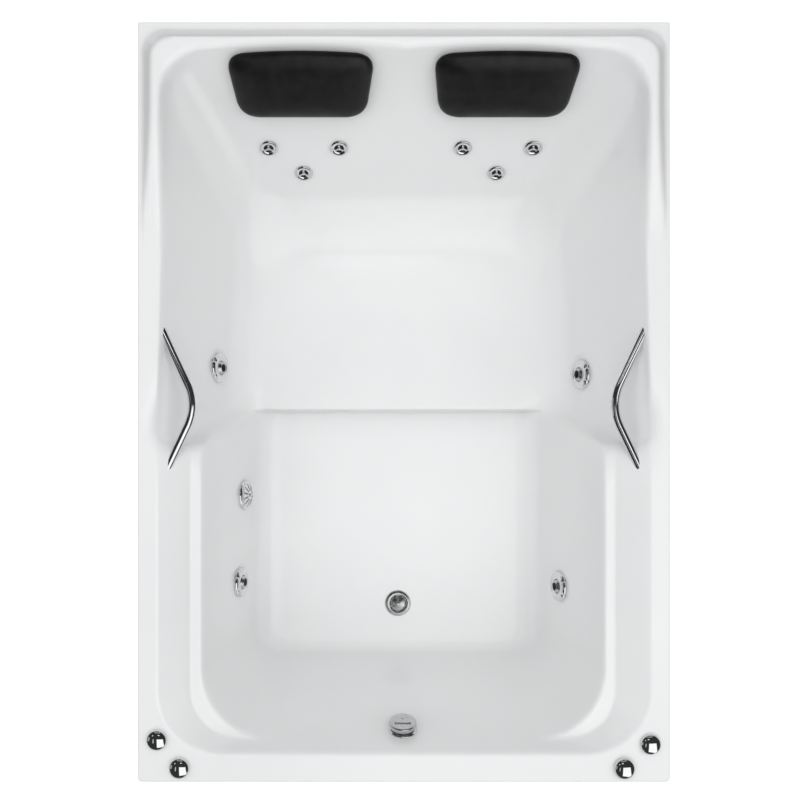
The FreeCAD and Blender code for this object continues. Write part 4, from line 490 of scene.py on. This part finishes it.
# Grid lines of the visible mesh as (from, up to, step), and the last lines' distances from the rim's edge
X_SPANS = ((0, 380, 6), (380, 480, 4), (480, RIM_X - 3, 2.5))
Y_SPANS = ((-RIM_Y + 5, -640, 3.5), (-638, -130, 5), (-130, 10, 2), (10, 560, 6), (562, 800, 4),
           (802, RIM_Y - 3, 2))
RIM_LINES = (2.5, 1.0, 0.0)


def spread_lines(spans):
    return [value for span in spans for value in np.arange(*span)]


def shell_lines():
    """Grid lines of the visible mesh: close together where the form turns quickly."""
    half = spread_lines(X_SPANS) + [RIM_X - inset for inset in RIM_LINES]
    xs = sorted({-v for v in half} | set(half))
    ys = [inset - RIM_Y for inset in RIM_LINES[::-1]] + spread_lines(Y_SPANS)
    ys += [RIM_Y - inset for inset in RIM_LINES]
    return np.array(xs), np.array(ys)


def sampled(xs, ys, grid_x, grid_y, field):
    """The field between its grid points, mirrored in the middle line."""
    column = (np.abs(xs) - grid_x[0]) / GRID
    row = (ys - grid_y[0]) / GRID
    i = np.clip(column.astype(int), 0, len(grid_x) - 2)
    j = np.clip(row.astype(int), 0, len(grid_y) - 2)
    u = column - i
    v = row - j
    return ((field[j, i] * (1 - u) + field[j, i + 1] * u) * (1 - v)
            + (field[j + 1, i] * (1 - u) + field[j + 1, i + 1] * u) * v)


def make_shell():
    """The acrylic shell: upper face, underside and turned-down lip, with flats and openings for fittings."""
    grid_x, grid_y, field = height_field()
    xs, ys = shell_lines()
    x, y = np.meshgrid(xs, ys)
    z = sampled(x, y, grid_x, grid_y, field)
    for centre, normal, flat, _ in PLACES.values():
        plane = centre[2] - (normal[0] * (x - centre[0]) + normal[1] * (y - centre[1])) / normal[2]
        away = np.stack([x - centre[0], y - centre[1], z - centre[2]], -1)
        along = away @ normal
        radial = np.linalg.norm(away - along[..., None] * normal, axis=-1)
        weight = np.clip((flat + FLAT_BLEND - radial) / FLAT_BLEND, 0, 1)
        weight = weight ** 2 * (3 - 2 * weight) * (np.abs(along) < FLAT_REACH)
        z = z * (1 - weight) + plane * weight
    slope_x = np.gradient(z, xs, axis=1)
    slope_y = np.gradient(z, ys, axis=0)
    normal = np.stack([-slope_x, -slope_y, np.ones_like(z)], -1)
    normal /= np.linalg.norm(normal, axis=-1, keepdims=True)
    top = np.stack([x, y, z], -1)
    under = top - WALL * normal
    # the rim's edge is rounded, and the underside stays inside the lip
    edge = np.maximum(np.abs(x) - (RIM_X - RIM_EDGE_R), np.abs(y) - (RIM_Y - RIM_EDGE_R))
    top[..., 2] -= np.where(edge > 0, RIM_EDGE_R - np.sqrt(np.maximum(RIM_EDGE_R ** 2 - edge ** 2, 0)), 0)
    under[..., 0] = np.clip(under[..., 0], WALL - RIM_X, RIM_X - WALL)
    under[..., 1] = np.clip(under[..., 1], WALL - RIM_Y, RIM_Y - WALL)
    rows, columns = z.shape
    count = rows * columns
    verts = np.concatenate([top.reshape(-1, 3), under.reshape(-1, 3)]).tolist()

    def open_here(px, py, pz):
        if math.hypot(px, py - DRAIN_Y) < DRAIN_OPENING:
            return True
        for centre, direction, _, opening in PLACES.values():
            away = (px - centre[0], py - centre[1], pz - centre[2])
            if max(abs(a) for a in away) > OPENING_REACH:
                continue
            along = sum(a * b for a, b in zip(away, direction))
            if sum(a * a for a in away) - along ** 2 < opening ** 2:
                return True
        return False

    faces = []
    for j in range(rows - 1):
        for i in range(columns - 1):
            a = j * columns + i
            middle = (top[j, i] + top[j + 1, i + 1]) / 2
            if open_here(*middle):
                continue
            faces.append((a, a + 1, a + columns + 1, a + columns))
            faces.append((a + count, a + columns + count, a + columns + 1 + count, a + 1 + count))
    border = list(range(columns))
    border += [j * columns + columns - 1 for j in range(1, rows)]
    border += [(rows - 1) * columns + i for i in range(columns - 2, -1, -1)]
    border += [j * columns for j in range(rows - 2, 0, -1)]
    low = DECK - LIP
    outer_low = []
    inner_low = []
    for index in border:
        vx, vy, _ = verts[index]
        outer_low.append(len(verts))
        verts.append((vx, vy, low))
        inner_low.append(len(verts))
        inner_x = max(min(vx, RIM_X - WALL), WALL - RIM_X)
        inner_y = max(min(vy, RIM_Y - WALL), WALL - RIM_Y)
        verts.append((inner_x, inner_y, low))
    for k, index in enumerate(border):
        n = (k + 1) % len(border)
        faces.append((index, outer_low[k], outer_low[n], border[n]))
        faces.append((outer_low[k], inner_low[k], inner_low[n], outer_low[n]))
        faces.append((inner_low[k], index + count, border[n] + count, inner_low[n]))
    round_foot_corners(verts)
    piece("shell_skin", verts, faces, "acrylic", node="bath_shell", crease=50)


def round_foot_corners(verts):
    """Rounds the rim's two corners at the foot end, in place."""
    radius = FOOT_CORNER_R
    for k, (vx, vy, vz) in enumerate(verts):
        dx = abs(vx) - (RIM_X - radius)
        dy = -vy - (RIM_Y - radius)
        if dx > 0 and dy > 0:
            reach = math.hypot(dx, dy)
            limit = max(dx, dy)
            if reach > 1e-6:
                dx, dy = dx * limit / reach, dy * limit / reach
            verts[k] = (math.copysign(RIM_X - radius + dx, vx), -(RIM_Y - radius + dy), vz)


# ---------------------------------------------------------------- turned and swept pieces

def frame_of(centre, normal, up):
    """Matrix whose Z is the normal and whose Y leans towards up, for pieces made about Z."""
    z = Vector(normal).normalized()
    x = Vector(up).cross(z).normalized()
    y = z.cross(x)
    matrix = Matrix((x, y, z)).transposed().to_4x4()
    matrix.translation = Vector(centre)
    return matrix


def moved(verts, matrix):
    """Points carried by a matrix."""
    return [tuple(matrix @ Vector(v)) for v in verts]


def round_profile(points, radius, steps=3):
    """A closed or open profile with each corner replaced by a small arc of chords."""
    result = [points[0]]
    for before, corner, after in zip(points, points[1:], points[2:]):
        a = Vector(before) - Vector(corner)
        b = Vector(after) - Vector(corner)
        cut = min(radius, a.length * 0.45, b.length * 0.45)
        start = Vector(corner) + a.normalized() * cut
        end = Vector(corner) + b.normalized() * cut
        for k in range(steps + 1):
            t = k / steps
            point = start * (1 - t) ** 2 + Vector(corner) * 2 * t * (1 - t) + end * t ** 2
            result.append((point.x, point.y))
    result.append(points[-1])
    return result


def turned(profile, segments=96, radius_at=None, closed=False):
    """Mesh of revolution about Z from (radius, height) points.

    radius_at(angle, radius, height) can notch it.
    """
    verts = []
    faces = []
    rings = []
    for r, h in profile:
        if r < 1e-6:
            rings.append([len(verts)])
            verts.append((0, 0, h))
            continue
        ring = []
        for k in range(segments):
            angle = TAU * k / segments
            rr, hh = (r, h) if radius_at is None else radius_at(angle, r, h)
            ring.append(len(verts))
            verts.append((rr * math.cos(angle), rr * math.sin(angle), hh))
        rings.append(ring)
    pairs = list(zip(rings, rings[1:])) + ([(rings[-1], rings[0])] if closed else [])
    for low, high in pairs:
        for k in range(segments):
            n = (k + 1) % segments
            if len(low) == 1 and len(high) == 1:
                break
            if len(low) == 1:
                faces.append((low[0], high[n], high[k]))
            elif len(high) == 1:
                faces.append((low[k], low[n], high[0]))
            else:
                faces.append((low[k], low[n], high[n], high[k]))
    return verts, faces


def ring_quads(rings, size):
    """Faces between closed rings of equal size whose points follow each other."""
    faces = []
    for j in range(rings - 1):
        for k in range(size):
            n = (k + 1) % size
            a = j * size
            faces.append((a + k, a + n, a + size + n, a + size + k))
    return faces


def joined(*parts):
    """Several (points, faces) as one."""
    verts = []
    faces = []
    for part_verts, part_faces in parts:
        base = len(verts)
        verts += part_verts
        faces += [tuple(i + base for i in face) for face in part_faces]
    return verts, faces


def swept(points, radius, segments=48):
    """A round tube along a dense path in a plane."""
    path = [Vector(p) for p in points]
    verts = []
    for k, here in enumerate(path):
        ahead = (path[min(k + 1, len(path) - 1)] - path[max(k - 1, 0)]).normalized()
        side = ahead.cross(Vector((0, 0, 1))).normalized()
        up = side.cross(ahead)
        for j in range(segments):
            turn = TAU * j / segments
            verts.append(tuple(here + side * radius * math.cos(turn) + up * radius * math.sin(turn)))
    return verts, ring_quads(len(path), segments)


NOTCHES, NOTCH_DEPTH, NOTCH_INNER_R = 6, 2.6, 33
# The ball's radius, and how wide and how deep the painted shade inside its bore reaches
BALL_R, BORE_SHADE_R, BORE_SHADE_DEPTH = 19.9, 10.4, 12


def side_jet(name):
    """Chrome trim ring with finger notches, and the ball nozzle whose bore is painted near-black as shade.
    """
    centre, normal, _, _ = PLACES[name]
    matrix = frame_of(centre, normal, (0, 0, 1))

    def notched(angle, r, h):
        dent = max(0.0, math.cos(NOTCHES * angle)) ** 6
        if r > NOTCH_INNER_R and h > 1:
            return r - NOTCH_DEPTH * dent, h
        return r, h

    ring = round_profile([(37.6, 0.6), (40, 0.6), (40, 4.6), (38.6, 8.2), (36, 10.2), (31, 12.4), (27, 12.6),
                          (23.6, 11.0), (22.4, 10.2), (20.6, 10.6), (18.9, 10.0), (18.7, 5.4)], 1.6, 4)
    verts, faces = turned(ring, 144, notched)
    piece("jet_trim_" + name, moved(verts, matrix), faces, "chrome", "ring_" + name,
          node="jet_ring_" + name, crease=60)
    ball = [(BALL_R * math.cos(t), BALL_R * math.sin(t)) for t in np.linspace(-0.87, 0.72, 26)]
    outlet = [ball[-1], (12.6, 15.6), (11.8, 16.6), (10.2, 16.2), (8.2, 9), (8.0, -9.0)]
    verts, faces = turned(ball + round_profile(outlet, 0.6, 3)[1:], 72)
    eye = piece("jet_eye_" + name, moved(verts, matrix), faces, "satin_chrome", "nozzle_" + name,
                "jet_nozzle_" + name, 50)
    # The bore's inside takes the near-black look: painted shade in the nozzle's hole
    eye.data.materials.append(LOOKS["dark_nozzle"].material)
    inverse = matrix.inverted()
    for polygon in eye.data.polygons:
        local = inverse @ (Vector(polygon.center) * 1000)
        if math.hypot(local.x, local.y) < BORE_SHADE_R and local.z > -BORE_SHADE_DEPTH:
            polygon.material_index = 1


SLOTS, SLOT_HALF, SLOT_START, SLOT_END = 12, 1.7, 12, 31
COVER_SHEET = 0.0022


def suction():
    """Domed strainer: slots between radial ribs, and a centre screw."""
    centre, normal, _, _ = PLACES["suction"]
    matrix = frame_of(centre, normal, (0, 0, 1))
    dome = [(40, 0.6), (40, 4.5), (38.8, 7.0), (36, 9.0), (32.5, 11.2), (28, 13.2), (24, 14.4), (19, 15.4),
            (14, 16.0), (11, 16.3), (7, 16.8), (0, 16.8)]
    verts, faces = turned(round_profile(dome, 0.9, 2), 144)
    kept = []
    for face in faces:
        x = sum(verts[i][0] for i in face) / len(face)
        y = sum(verts[i][1] for i in face) / len(face)
        r = math.hypot(x, y)
        turn = (math.atan2(y, x) / TAU * SLOTS) % 1
        across = abs(turn - 0.5) / SLOTS * TAU * r
        if SLOT_START < r < SLOT_END and across < SLOT_HALF:
            continue
        kept.append(face)
    cover = piece("suction_dome", moved(verts, matrix), kept, "chrome", node="suction_cover", crease=50)
    thick = cover.modifiers.new("thickness", "SOLIDIFY")
    thick.thickness = COVER_SHEET
    thick.offset = -1
    head = round_profile([(0, 16.9), (5.5, 16.9), (5.5, 18.2), (3.5, 19.4), (0, 19.7)], 0.5, 3)
    verts, faces = turned(head, 48)
    piece("suction_screw_head", moved(verts, matrix), faces, "steel", node="suction_screw", crease=50)


def back_jets():
    """Rosettes with three spray sectors round a small hub, over near-black discs of painted shade in the
    throats.
    """
    rosettes = []
    throat_shades = []
    spread = math.radians(16)
    for k in range(len(BACK_JETS)):
        centre, normal, _, _ = PLACES["back_%d" % k]
        matrix = frame_of(centre, normal, (0, 0, 1))
        rim = round_profile([(21.9, 0.6), (24, 0.6), (24, 3.4), (22.6, 5.3), (19, 6.0), (15.5, 5.2),
                             (13.2, 4.4), (12.2, 3.6), (11.9, 1.0)], 0.9, 3)
        body = turned(rim, 96)
        hub = turned(round_profile([(0, 5.8), (3.6, 5.6), (4.6, 4.4), (4.6, 1.0)], 0.7, 3)[::-1], 48)
        webs = []
        for w in range(3):
            turn = math.radians(90 + 120 * w)
            ring_points = []
            for r, h in ((4.4, 4.2), (8, 4.6), (12.4, 4.2)):
                for side in (-1, 1):
                    angle = turn + side * spread * (0.9 if r > 5 else 1.4)
                    ring_points.append((r * math.cos(angle), r * math.sin(angle), h))
            webs.append((ring_points, [(0, 2, 3, 1), (2, 4, 5, 3)]))
        verts, faces = joined(body, hub, *webs)
        rosettes.append((moved(verts, matrix), faces))
        # A near-black disc under each rosette: painted shade in its throat
        verts, faces = turned([(12.1, 0.9), (0, 0.9)], 48)
        throat_shades.append((moved(verts, matrix), faces))
    verts, faces = joined(*rosettes)
    piece("back_jet_rosettes", verts, faces, "chrome", node="back_jet_faces", crease=50)
    verts, faces = joined(*throat_shades)
    piece("back_jet_throats", verts, faces, "dark_hollow")


# Deck controls as (body, x, y, lift of the dome over the deck, node); the button stands up by its travel
DECK_CONTROLS = (
    ("knob_left_outer", -585, -800, 0.4, "air_knob_left_outer"),
    ("knob_left_inner", -532, -866, 0.4, "air_knob_left_inner"),
    ("knob_right_outer", 583, -810, 0.4, "air_knob_right_outer"),
    ("button_body", 521, -866, 3.4, "pump_button"),
)
DOME_R, DOME_FOOT, DOME_RISE, DOME_TOP = 24.4, 3.4, 13.4, 16.8


def deck_domes():
    """The polished domes of the four deck controls."""
    for body, x, y, skirt, node in DECK_CONTROLS:
        profile = [(22.5, skirt), (24.5, skirt), (24.5, skirt + 2.2)]
        for t in np.linspace(0.06, math.pi / 2 - 0.06, 26):
            profile.append((DOME_R * math.cos(t), skirt + DOME_FOOT + DOME_RISE * math.sin(t)))
        profile.append((0, skirt + DOME_TOP))
        verts, faces = turned(profile, 96)
        matrix = Matrix.Translation((x, y, DECK))
        piece("dome_" + node, moved(verts, matrix), faces, "chrome", body, node=node, crease=60)


def drain():
    """Flange round the throat, and the pop-up stopper with its finger knob."""
    matrix = Matrix.Translation((0, DRAIN_Y, 0))
    ring = round_profile([(21.3, 98), (21.3, 131.4), (23.5, 133.6), (28.5, 134.2), (33.4, 133.0),
                          (36, 130.3), (36, 129.8), (24, 129.8), (24, 98)], 1.2, 4)
    verts, faces = turned(ring[::-1], 120, closed=True)
    piece("drain_ring", moved(verts, matrix), faces, "satin_chrome",
          node="drain_flange", crease=50)
    cap = [(0, 143), (3.2, 142.9), (5.6, 142.0), (6.5, 140.6), (6.2, 139.4), (5.0, 138.4), (5.2, 137.4),
           (8, 136.5), (14, 135.0), (18.6, 133.8), (20.4, 132.6), (20.5, 130.6), (17.5, 127.5), (3, 127.5),
           (3, 82), (0, 82)]
    verts, faces = turned(round_profile(cap, 0.8, 3)[::-1], 96)
    piece("stopper_cap", moved(verts, matrix), faces, "satin_chrome", "drain_stopper_body",
          "drain_stopper", 50)


DIAL_FACE_R, DIAL_FACE_Z, DIAL_SEGMENTS = 30.6, 24, 128
BAND_HALF, BAND_Y, BAND_HALF_WIDTH, BAND_DEPTH = 19.7, 9, 5, 3
PIN_Y, PIN_R, PIN_DEPTH = -9, 2.6, 1.2


def overflow():
    """Trim ring, and the dial that stands off it with a sunk finger band and a small screw."""
    centre, normal, _, _ = PLACES["overflow"]
    matrix = frame_of(centre, normal, (0, 0, 1))
    ring = round_profile([(24, -5), (24, 4), (26, 6), (30, 7), (34, 6), (36, 3), (36, 0)], 1.5, 4)
    verts, faces = turned(ring[::-1], 120)
    piece("overflow_ring", moved(verts, matrix), faces, "chrome", node="overflow_plate", crease=50)
    rim = [(0, 12), (33, 12), (34, 13), (34, 21), (33, 23.4), (DIAL_FACE_R, DIAL_FACE_Z)]
    rings = np.linspace(DIAL_FACE_R, 0.8, 60)
    face_verts = []
    for r in rings:
        for k in range(DIAL_SEGMENTS):
            angle = TAU * k / DIAL_SEGMENTS
            px, py = r * math.cos(angle), r * math.sin(angle)
            band = np.clip((BAND_HALF - abs(px)) / 0.7, 0, 1)
            band *= np.clip((BAND_HALF_WIDTH - abs(py - BAND_Y)) / 0.7, 0, 1)
            pin = np.clip((PIN_R - math.hypot(px, py - PIN_Y)) / 0.5, 0, 1)
            face_verts.append((px, py, DIAL_FACE_Z - BAND_DEPTH * float(band) - PIN_DEPTH * float(pin)))
    face_faces = ring_quads(len(rings), DIAL_SEGMENTS)
    face_faces.append(tuple((len(rings) - 1) * DIAL_SEGMENTS + k for k in range(DIAL_SEGMENTS)))
    stem = turned([(4, -12), (4, 0.5), (8, 0.5), (8, 12)], 48)
    rim = turned(round_profile(rim, 1.2, 4), DIAL_SEGMENTS)
    verts, faces = joined(rim, (face_verts, face_faces), stem)
    piece("overflow_cap", moved(verts, matrix), faces, "satin_chrome", "overflow_dial_body",
          "overflow_dial", 40)


BAR_Z, BAR_MID_Y, BAR_R, BAR_BEND, BAR_TAIL = 534.0, -7.0, 11.0, 120.0, 76.0
BAR_ANGLE = math.radians(24.5)
# The solid bar's nearest point to the middle and its bend. The wider bend here is let in by a share of
# what it would cut off.
BAR_NEAREST_X, SOLID_BEND, BEND_SHARE = 504.0, 65.0, 0.35


def grab_bars():
    """Chrome bars bent to a wide V, whose ends run into the side walls."""
    wall_x = HEAD_HALF - HEAD_LEAN * (DECK - BAR_Z) - (HEAD_HALF - DECK_OPENING)
    cut = 1 / math.cos(BAR_ANGLE) - 1
    corner_x = BAR_NEAREST_X - SOLID_BEND * cut
    nearest_x = BAR_NEAREST_X + BEND_SHARE * (BAR_BEND - SOLID_BEND) * cut
    end_y = (wall_x - corner_x) / math.tan(BAR_ANGLE) + BAR_TAIL * math.cos(BAR_ANGLE)
    end_x = wall_x + BAR_TAIL * math.sin(BAR_ANGLE)

    def on_arc(turn):
        return nearest_x + BAR_BEND * (1 - math.cos(turn)), BAR_BEND * math.sin(turn)

    tangent = on_arc(BAR_ANGLE)
    bars = []
    for side in (-1, 1):
        straight = [(tangent[0] + (end_x - tangent[0]) * t, tangent[1] + (end_y - tangent[1]) * t)
                    for t in np.linspace(1, 0, 24)[:-1]]
        half = straight + [on_arc(turn) for turn in np.linspace(BAR_ANGLE, 0, 20)]
        whole = half + [(px, -py) for px, py in half[-2::-1]]
        bars.append(swept([(side * px, BAR_MID_Y + py, BAR_Z) for px, py in whole], BAR_R))
    verts, faces = joined(*bars)
    piece("grab_bar_tubes", verts, faces, "chrome", node="grab_bars", crease=80)


# ---------------------------------------------------------------- pillows

PILLOW_X, PILLOW_Y, PILLOW_BASE, PILLOW_RISE = 244, 773, 7, 40
PILLOW_HALF, PILLOW_TOP, PILLOW_BOW, PILLOW_TAPER, PILLOW_CORNER = 176, 86, 10, 22, 48
PILLOW_STEPS, SIDE_LAYERS, CROWN_LAYERS, CROWN_STEPS = 20, 9, 20, (0.66, 0.33)
SIDE_SHARE, SIDE_TUCK, CROWN_DRAW, CROWN_BULGE = 0.3, 0.13, 0.62, 0.25


def pillow_outline(scale):
    """Points round the pillow: a rounded trapezoid whose upper edge bows."""
    half, top, bow = PILLOW_HALF * scale, PILLOW_TOP * scale, PILLOW_BOW * scale
    low = half - PILLOW_TAPER
    r = PILLOW_CORNER * scale
    corners = [(-low, -top), (low, -top), (half, top), (-half, top)]
    points = []
    for k, (cx, cy) in enumerate(corners):
        before = Vector(corners[k - 1]) - Vector((cx, cy))
        after = Vector(corners[(k + 1) % 4]) - Vector((cx, cy))
        start = Vector((cx, cy)) + before.normalized() * r
        end = Vector((cx, cy)) + after.normalized() * r
        for j in range(PILLOW_STEPS + 1):
            t = j / PILLOW_STEPS
            points.append(start * (1 - t) ** 2 + Vector((cx, cy)) * 2 * t * (1 - t) + end * t ** 2)
        nxt = Vector(corners[(k + 1) % 4])
        stop = nxt - after.normalized() * r
        for j in range(1, PILLOW_STEPS):
            points.append(end.lerp(stop, j / PILLOW_STEPS))
    result = []
    for p in points:
        lift = bow * max(0.0, 1 - (p.x / half) ** 2) if p.y > 0 else 0.0
        result.append((p.x, p.y + lift * min(1.0, max(p.y, 0) / top)))
    return result


def make_pillow(side, name, node):
    """A pillow from layers given as (share of its rise, scale of its outline), closed over the crown."""
    layers = []
    for k in range(SIDE_LAYERS):
        turn = math.pi / 2 * k / SIDE_LAYERS
        layers.append((SIDE_SHARE * math.sin(turn), 1 - SIDE_TUCK * (1 - math.sin(turn))))
    for k in range(CROWN_LAYERS + 1):
        turn = math.pi / 2 * k / CROWN_LAYERS
        rise = SIDE_SHARE + (1 - SIDE_SHARE) * math.sin(turn)
        layers.append((rise, 1 - CROWN_DRAW * (1 - math.cos(turn)) ** 1.2))
    rings = []
    for share, scale in layers:
        rings.append([(px, py, PILLOW_BASE + PILLOW_RISE * share) for px, py in pillow_outline(scale)])
    crown = rings[-1]
    for step in CROWN_STEPS:
        height = PILLOW_BASE + PILLOW_RISE + CROWN_BULGE * (1 - step)
        rings.append([(px * step, py * step, height) for px, py, _ in crown])
    size = len(crown)
    verts = [point for ring in rings for point in ring]
    faces = ring_quads(len(rings), size)
    faces.append(tuple(len(verts) - size + k for k in range(size)))
    faces.append(tuple(range(size - 1, -1, -1)))
    z = CREST - (BACK_TOP - PILLOW_Y) * math.tan(PITCH)
    outward = (0, -math.sin(PITCH), math.cos(PITCH))
    up = (0, math.cos(PITCH), math.sin(PITCH))
    matrix = frame_of((side * PILLOW_X, PILLOW_Y, z), outward, up)
    pillow = piece(name, moved(verts, matrix), faces, "pillow_vinyl", node=node, crease=60)


# ---------------------------------------------------------------- other nodes, floor, light and camera

def dress_nodes():
    """Gives each CAD node the look of its material slot."""
    for name, obj in NODES.items():
        material = LOOKS[SLOT_OF[name]].material
        for slot in obj.material_slots:
            slot.material = material
        if not obj.material_slots:
            obj.data.materials.append(material)


FLOOR_GLOW = 0.85
ROOM_DARK = 0.035
WINDOW_SOFT = 0.02
# Lit areas that polished surfaces mirror, as ranges of the direction's x and y:
# (low x, high x, low y, high y, brightness)
WINDOWS = (
    (-0.06, 0.70, -0.88, -0.02, 1.25),
    (-0.62, -0.52, 0.34, 0.46, 1.2),
    (-0.47, -0.40, -0.42, -0.02, 0.9),
    (-0.98, -0.86, -0.25, 0.15, 0.5),
    (-0.40, 0.40, 0.78, 0.96, 0.30),
)


def studio_windows(nodes, links, direction):
    """Brightness of the dark studio with its lit windows, by direction."""

    def combine(operation, a, b):
        node = nodes.new("ShaderNodeMath")
        node.operation = operation
        for socket, value in zip(node.inputs, (a, b)):
            if isinstance(value, float):
                socket.default_value = value
            else:
                links.new(value, socket)
        return node.outputs["Value"]

    def times(a, b):
        return combine("MULTIPLY", a, b)

    def between(axis, low, high):
        edges = []
        for side, at in ((1, low), (-1, high)):
            edge = nodes.new("ShaderNodeMapRange")
            edge.inputs["From Min"].default_value = at - side * WINDOW_SOFT
            edge.inputs["From Max"].default_value = at + side * WINDOW_SOFT
            links.new(direction.outputs[axis], edge.inputs["Value"])
            edges.append(edge.outputs["Result"])
        return times(*edges)

    upper = combine("GREATER_THAN", direction.outputs["Z"], 0.0)
    total = None
    for low_x, high_x, low_y, high_y, brightness in WINDOWS:
        lit = times(times(between("X", low_x, high_x), between("Y", low_y, high_y)), brightness - ROOM_DARK)
        total = lit if total is None else combine("ADD", total, lit)
    return combine("ADD", times(total, upper), ROOM_DARK)


FLOOR_REACH, FLOOR_DROP = 9.0, 0.0005


def studio_floor():
    """A plain floor just under the pads, white to the camera and grey to everything else."""
    floor_mesh = bpy.data.meshes.new("studio_floor")
    corners = [(x * FLOOR_REACH, y * FLOOR_REACH, 0) for x, y in ((-1, -1), (1, -1), (1, 1), (-1, 1))]
    floor_mesh.from_pydata(corners, [], [(0, 1, 2, 3)])
    floor = bpy.data.objects.new("studio_floor", floor_mesh)
    bpy.context.scene.collection.objects.link(floor)
    floor.location.z = -FLOOR_DROP
    material = bpy.data.materials.new("floor")
    material.use_nodes = True
    nodes, links = material.node_tree.nodes, material.node_tree.links
    shader = nodes["Principled BSDF"]
    shader.inputs["Base Color"].default_value = (0.34, 0.34, 0.34, 1)
    shader.inputs["Roughness"].default_value = 0.7
    glow = nodes.new("ShaderNodeEmission")
    path = nodes.new("ShaderNodeLightPath")
    share = nodes.new("ShaderNodeMath")
    share.operation = "MULTIPLY"
    share.inputs[1].default_value = FLOOR_GLOW
    links.new(path.outputs["Is Camera Ray"], share.inputs[0])
    links.new(share.outputs["Value"], glow.inputs["Strength"])
    both = nodes.new("ShaderNodeAddShader")
    links.new(shader.outputs["BSDF"], both.inputs[0])
    links.new(glow.outputs["Emission"], both.inputs[1])
    links.new(both.outputs["Shader"], nodes["Material Output"].inputs["Surface"])
    floor_mesh.materials.append(material)


def studio_world():
    """Soft light from above, white to the camera, and the dark studio with its windows to mirrors."""
    world = bpy.data.worlds.new("studio")
    bpy.context.scene.world = world
    world.use_nodes = True
    nodes, links = world.node_tree.nodes, world.node_tree.links
    background = nodes["Background"]
    background.inputs["Strength"].default_value = 1.0
    direction = nodes.new("ShaderNodeSeparateXYZ")
    links.new(nodes.new("ShaderNodeTexCoord").outputs["Generated"], direction.inputs[0])
    sky = nodes.new("ShaderNodeValToRGB")
    sky.color_ramp.elements[0].position = 0.0
    sky.color_ramp.elements[0].color = (0.10, 0.10, 0.105, 1)
    sky.color_ramp.elements[1].position = 0.75
    sky.color_ramp.elements[1].color = (0.62, 0.625, 0.63, 1)
    links.new(direction.outputs["Z"], sky.inputs["Fac"])
    links.new(sky.outputs["Color"], background.inputs["Color"])
    mirrored = nodes.new("ShaderNodeBackground")
    links.new(studio_windows(nodes, links, direction), mirrored.inputs["Color"])
    white = nodes.new("ShaderNodeBackground")
    white.inputs["Strength"].default_value = 1.0
    path = nodes.new("ShaderNodeLightPath")
    chosen = background.outputs["Background"]
    for ray, other in (("Is Glossy Ray", mirrored), ("Is Camera Ray", white)):
        mix = nodes.new("ShaderNodeMixShader")
        links.new(path.outputs[ray], mix.inputs["Fac"])
        links.new(chosen, mix.inputs[1])
        links.new(other.outputs["Background"], mix.inputs[2])
        chosen = mix.outputs["Shader"]
    links.new(chosen, nodes["World Output"].inputs["Surface"])


def lamp(name, place, target, size, power):
    """A soft box. Only the pillows' gleam is mirrored: the world's windows stand for the others."""
    light = bpy.data.lights.new(name, "AREA")
    light.shape = "RECTANGLE"
    light.size, light.size_y = size
    light.energy = power
    obj = bpy.data.objects.new(name, light)
    obj.location = place
    obj.rotation_euler = (Vector(target) - Vector(place)).to_track_quat("-Z", "Y").to_euler()
    obj.visible_glossy = name == "pillow_gleam"
    bpy.context.scene.collection.objects.link(obj)


def lights():
    lamp("overhead", (0.0, 0.45, 3.9), (0, 0.45, 0), (3.6, 3.6), 46)
    lamp("key_head", (0.0, 2.6, 2.7), (0, -0.3, 0.3), (2.6, 1.0), 9)
    lamp("key_foot", (0.0, -2.6, 2.7), (0, 0.1, 0.3), (2.6, 1.0), 11)
    lamp("fill_left", (-2.6, -0.2, 2.6), (0, -0.1, 0.3), (1.0, 2.6), 15)
    lamp("fill_right", (2.6, -0.2, 2.6), (0, -0.1, 0.3), (1.0, 2.6), 15)
    lamp("pillow_gleam", (0.0, 0.9, 3.4), (0, 0.8, 0.5), (0.7, 0.25), 1.2)


# Half the frame's width at the deck, the camera's height over the deck, and half the sensor's width, in mm
HALF_FRAME, CAMERA_HEIGHT, HALF_SENSOR = 947.2, 2500.0, 18.0


def camera():
    data = bpy.data.cameras.new("camera")
    data.sensor_width = 2 * HALF_SENSOR
    data.lens = HALF_SENSOR / (HALF_FRAME / CAMERA_HEIGHT)
    data.shift_x = 0.0478
    data.shift_y = 0.0025
    obj = bpy.data.objects.new("camera", data)
    obj.location = (-0.1, 0.0, 3.06)
    bpy.context.scene.collection.objects.link(obj)
    bpy.context.scene.camera = obj


camera()
studio_floor()
studio_world()
lights()
bpy.context.scene.view_settings.view_transform = "Standard"
dress_nodes()
make_shell()
for jet in ("head_left", "head_right", "foot_left", "foot_right"):
    side_jet(jet)
suction()
back_jets()
deck_domes()
drain()
overflow()
grab_bars()
make_pillow(-1, "pillow_form_left", "pillow_left")
make_pillow(1, "pillow_form_right", "pillow_right")

bpy.context.view_layer.update()
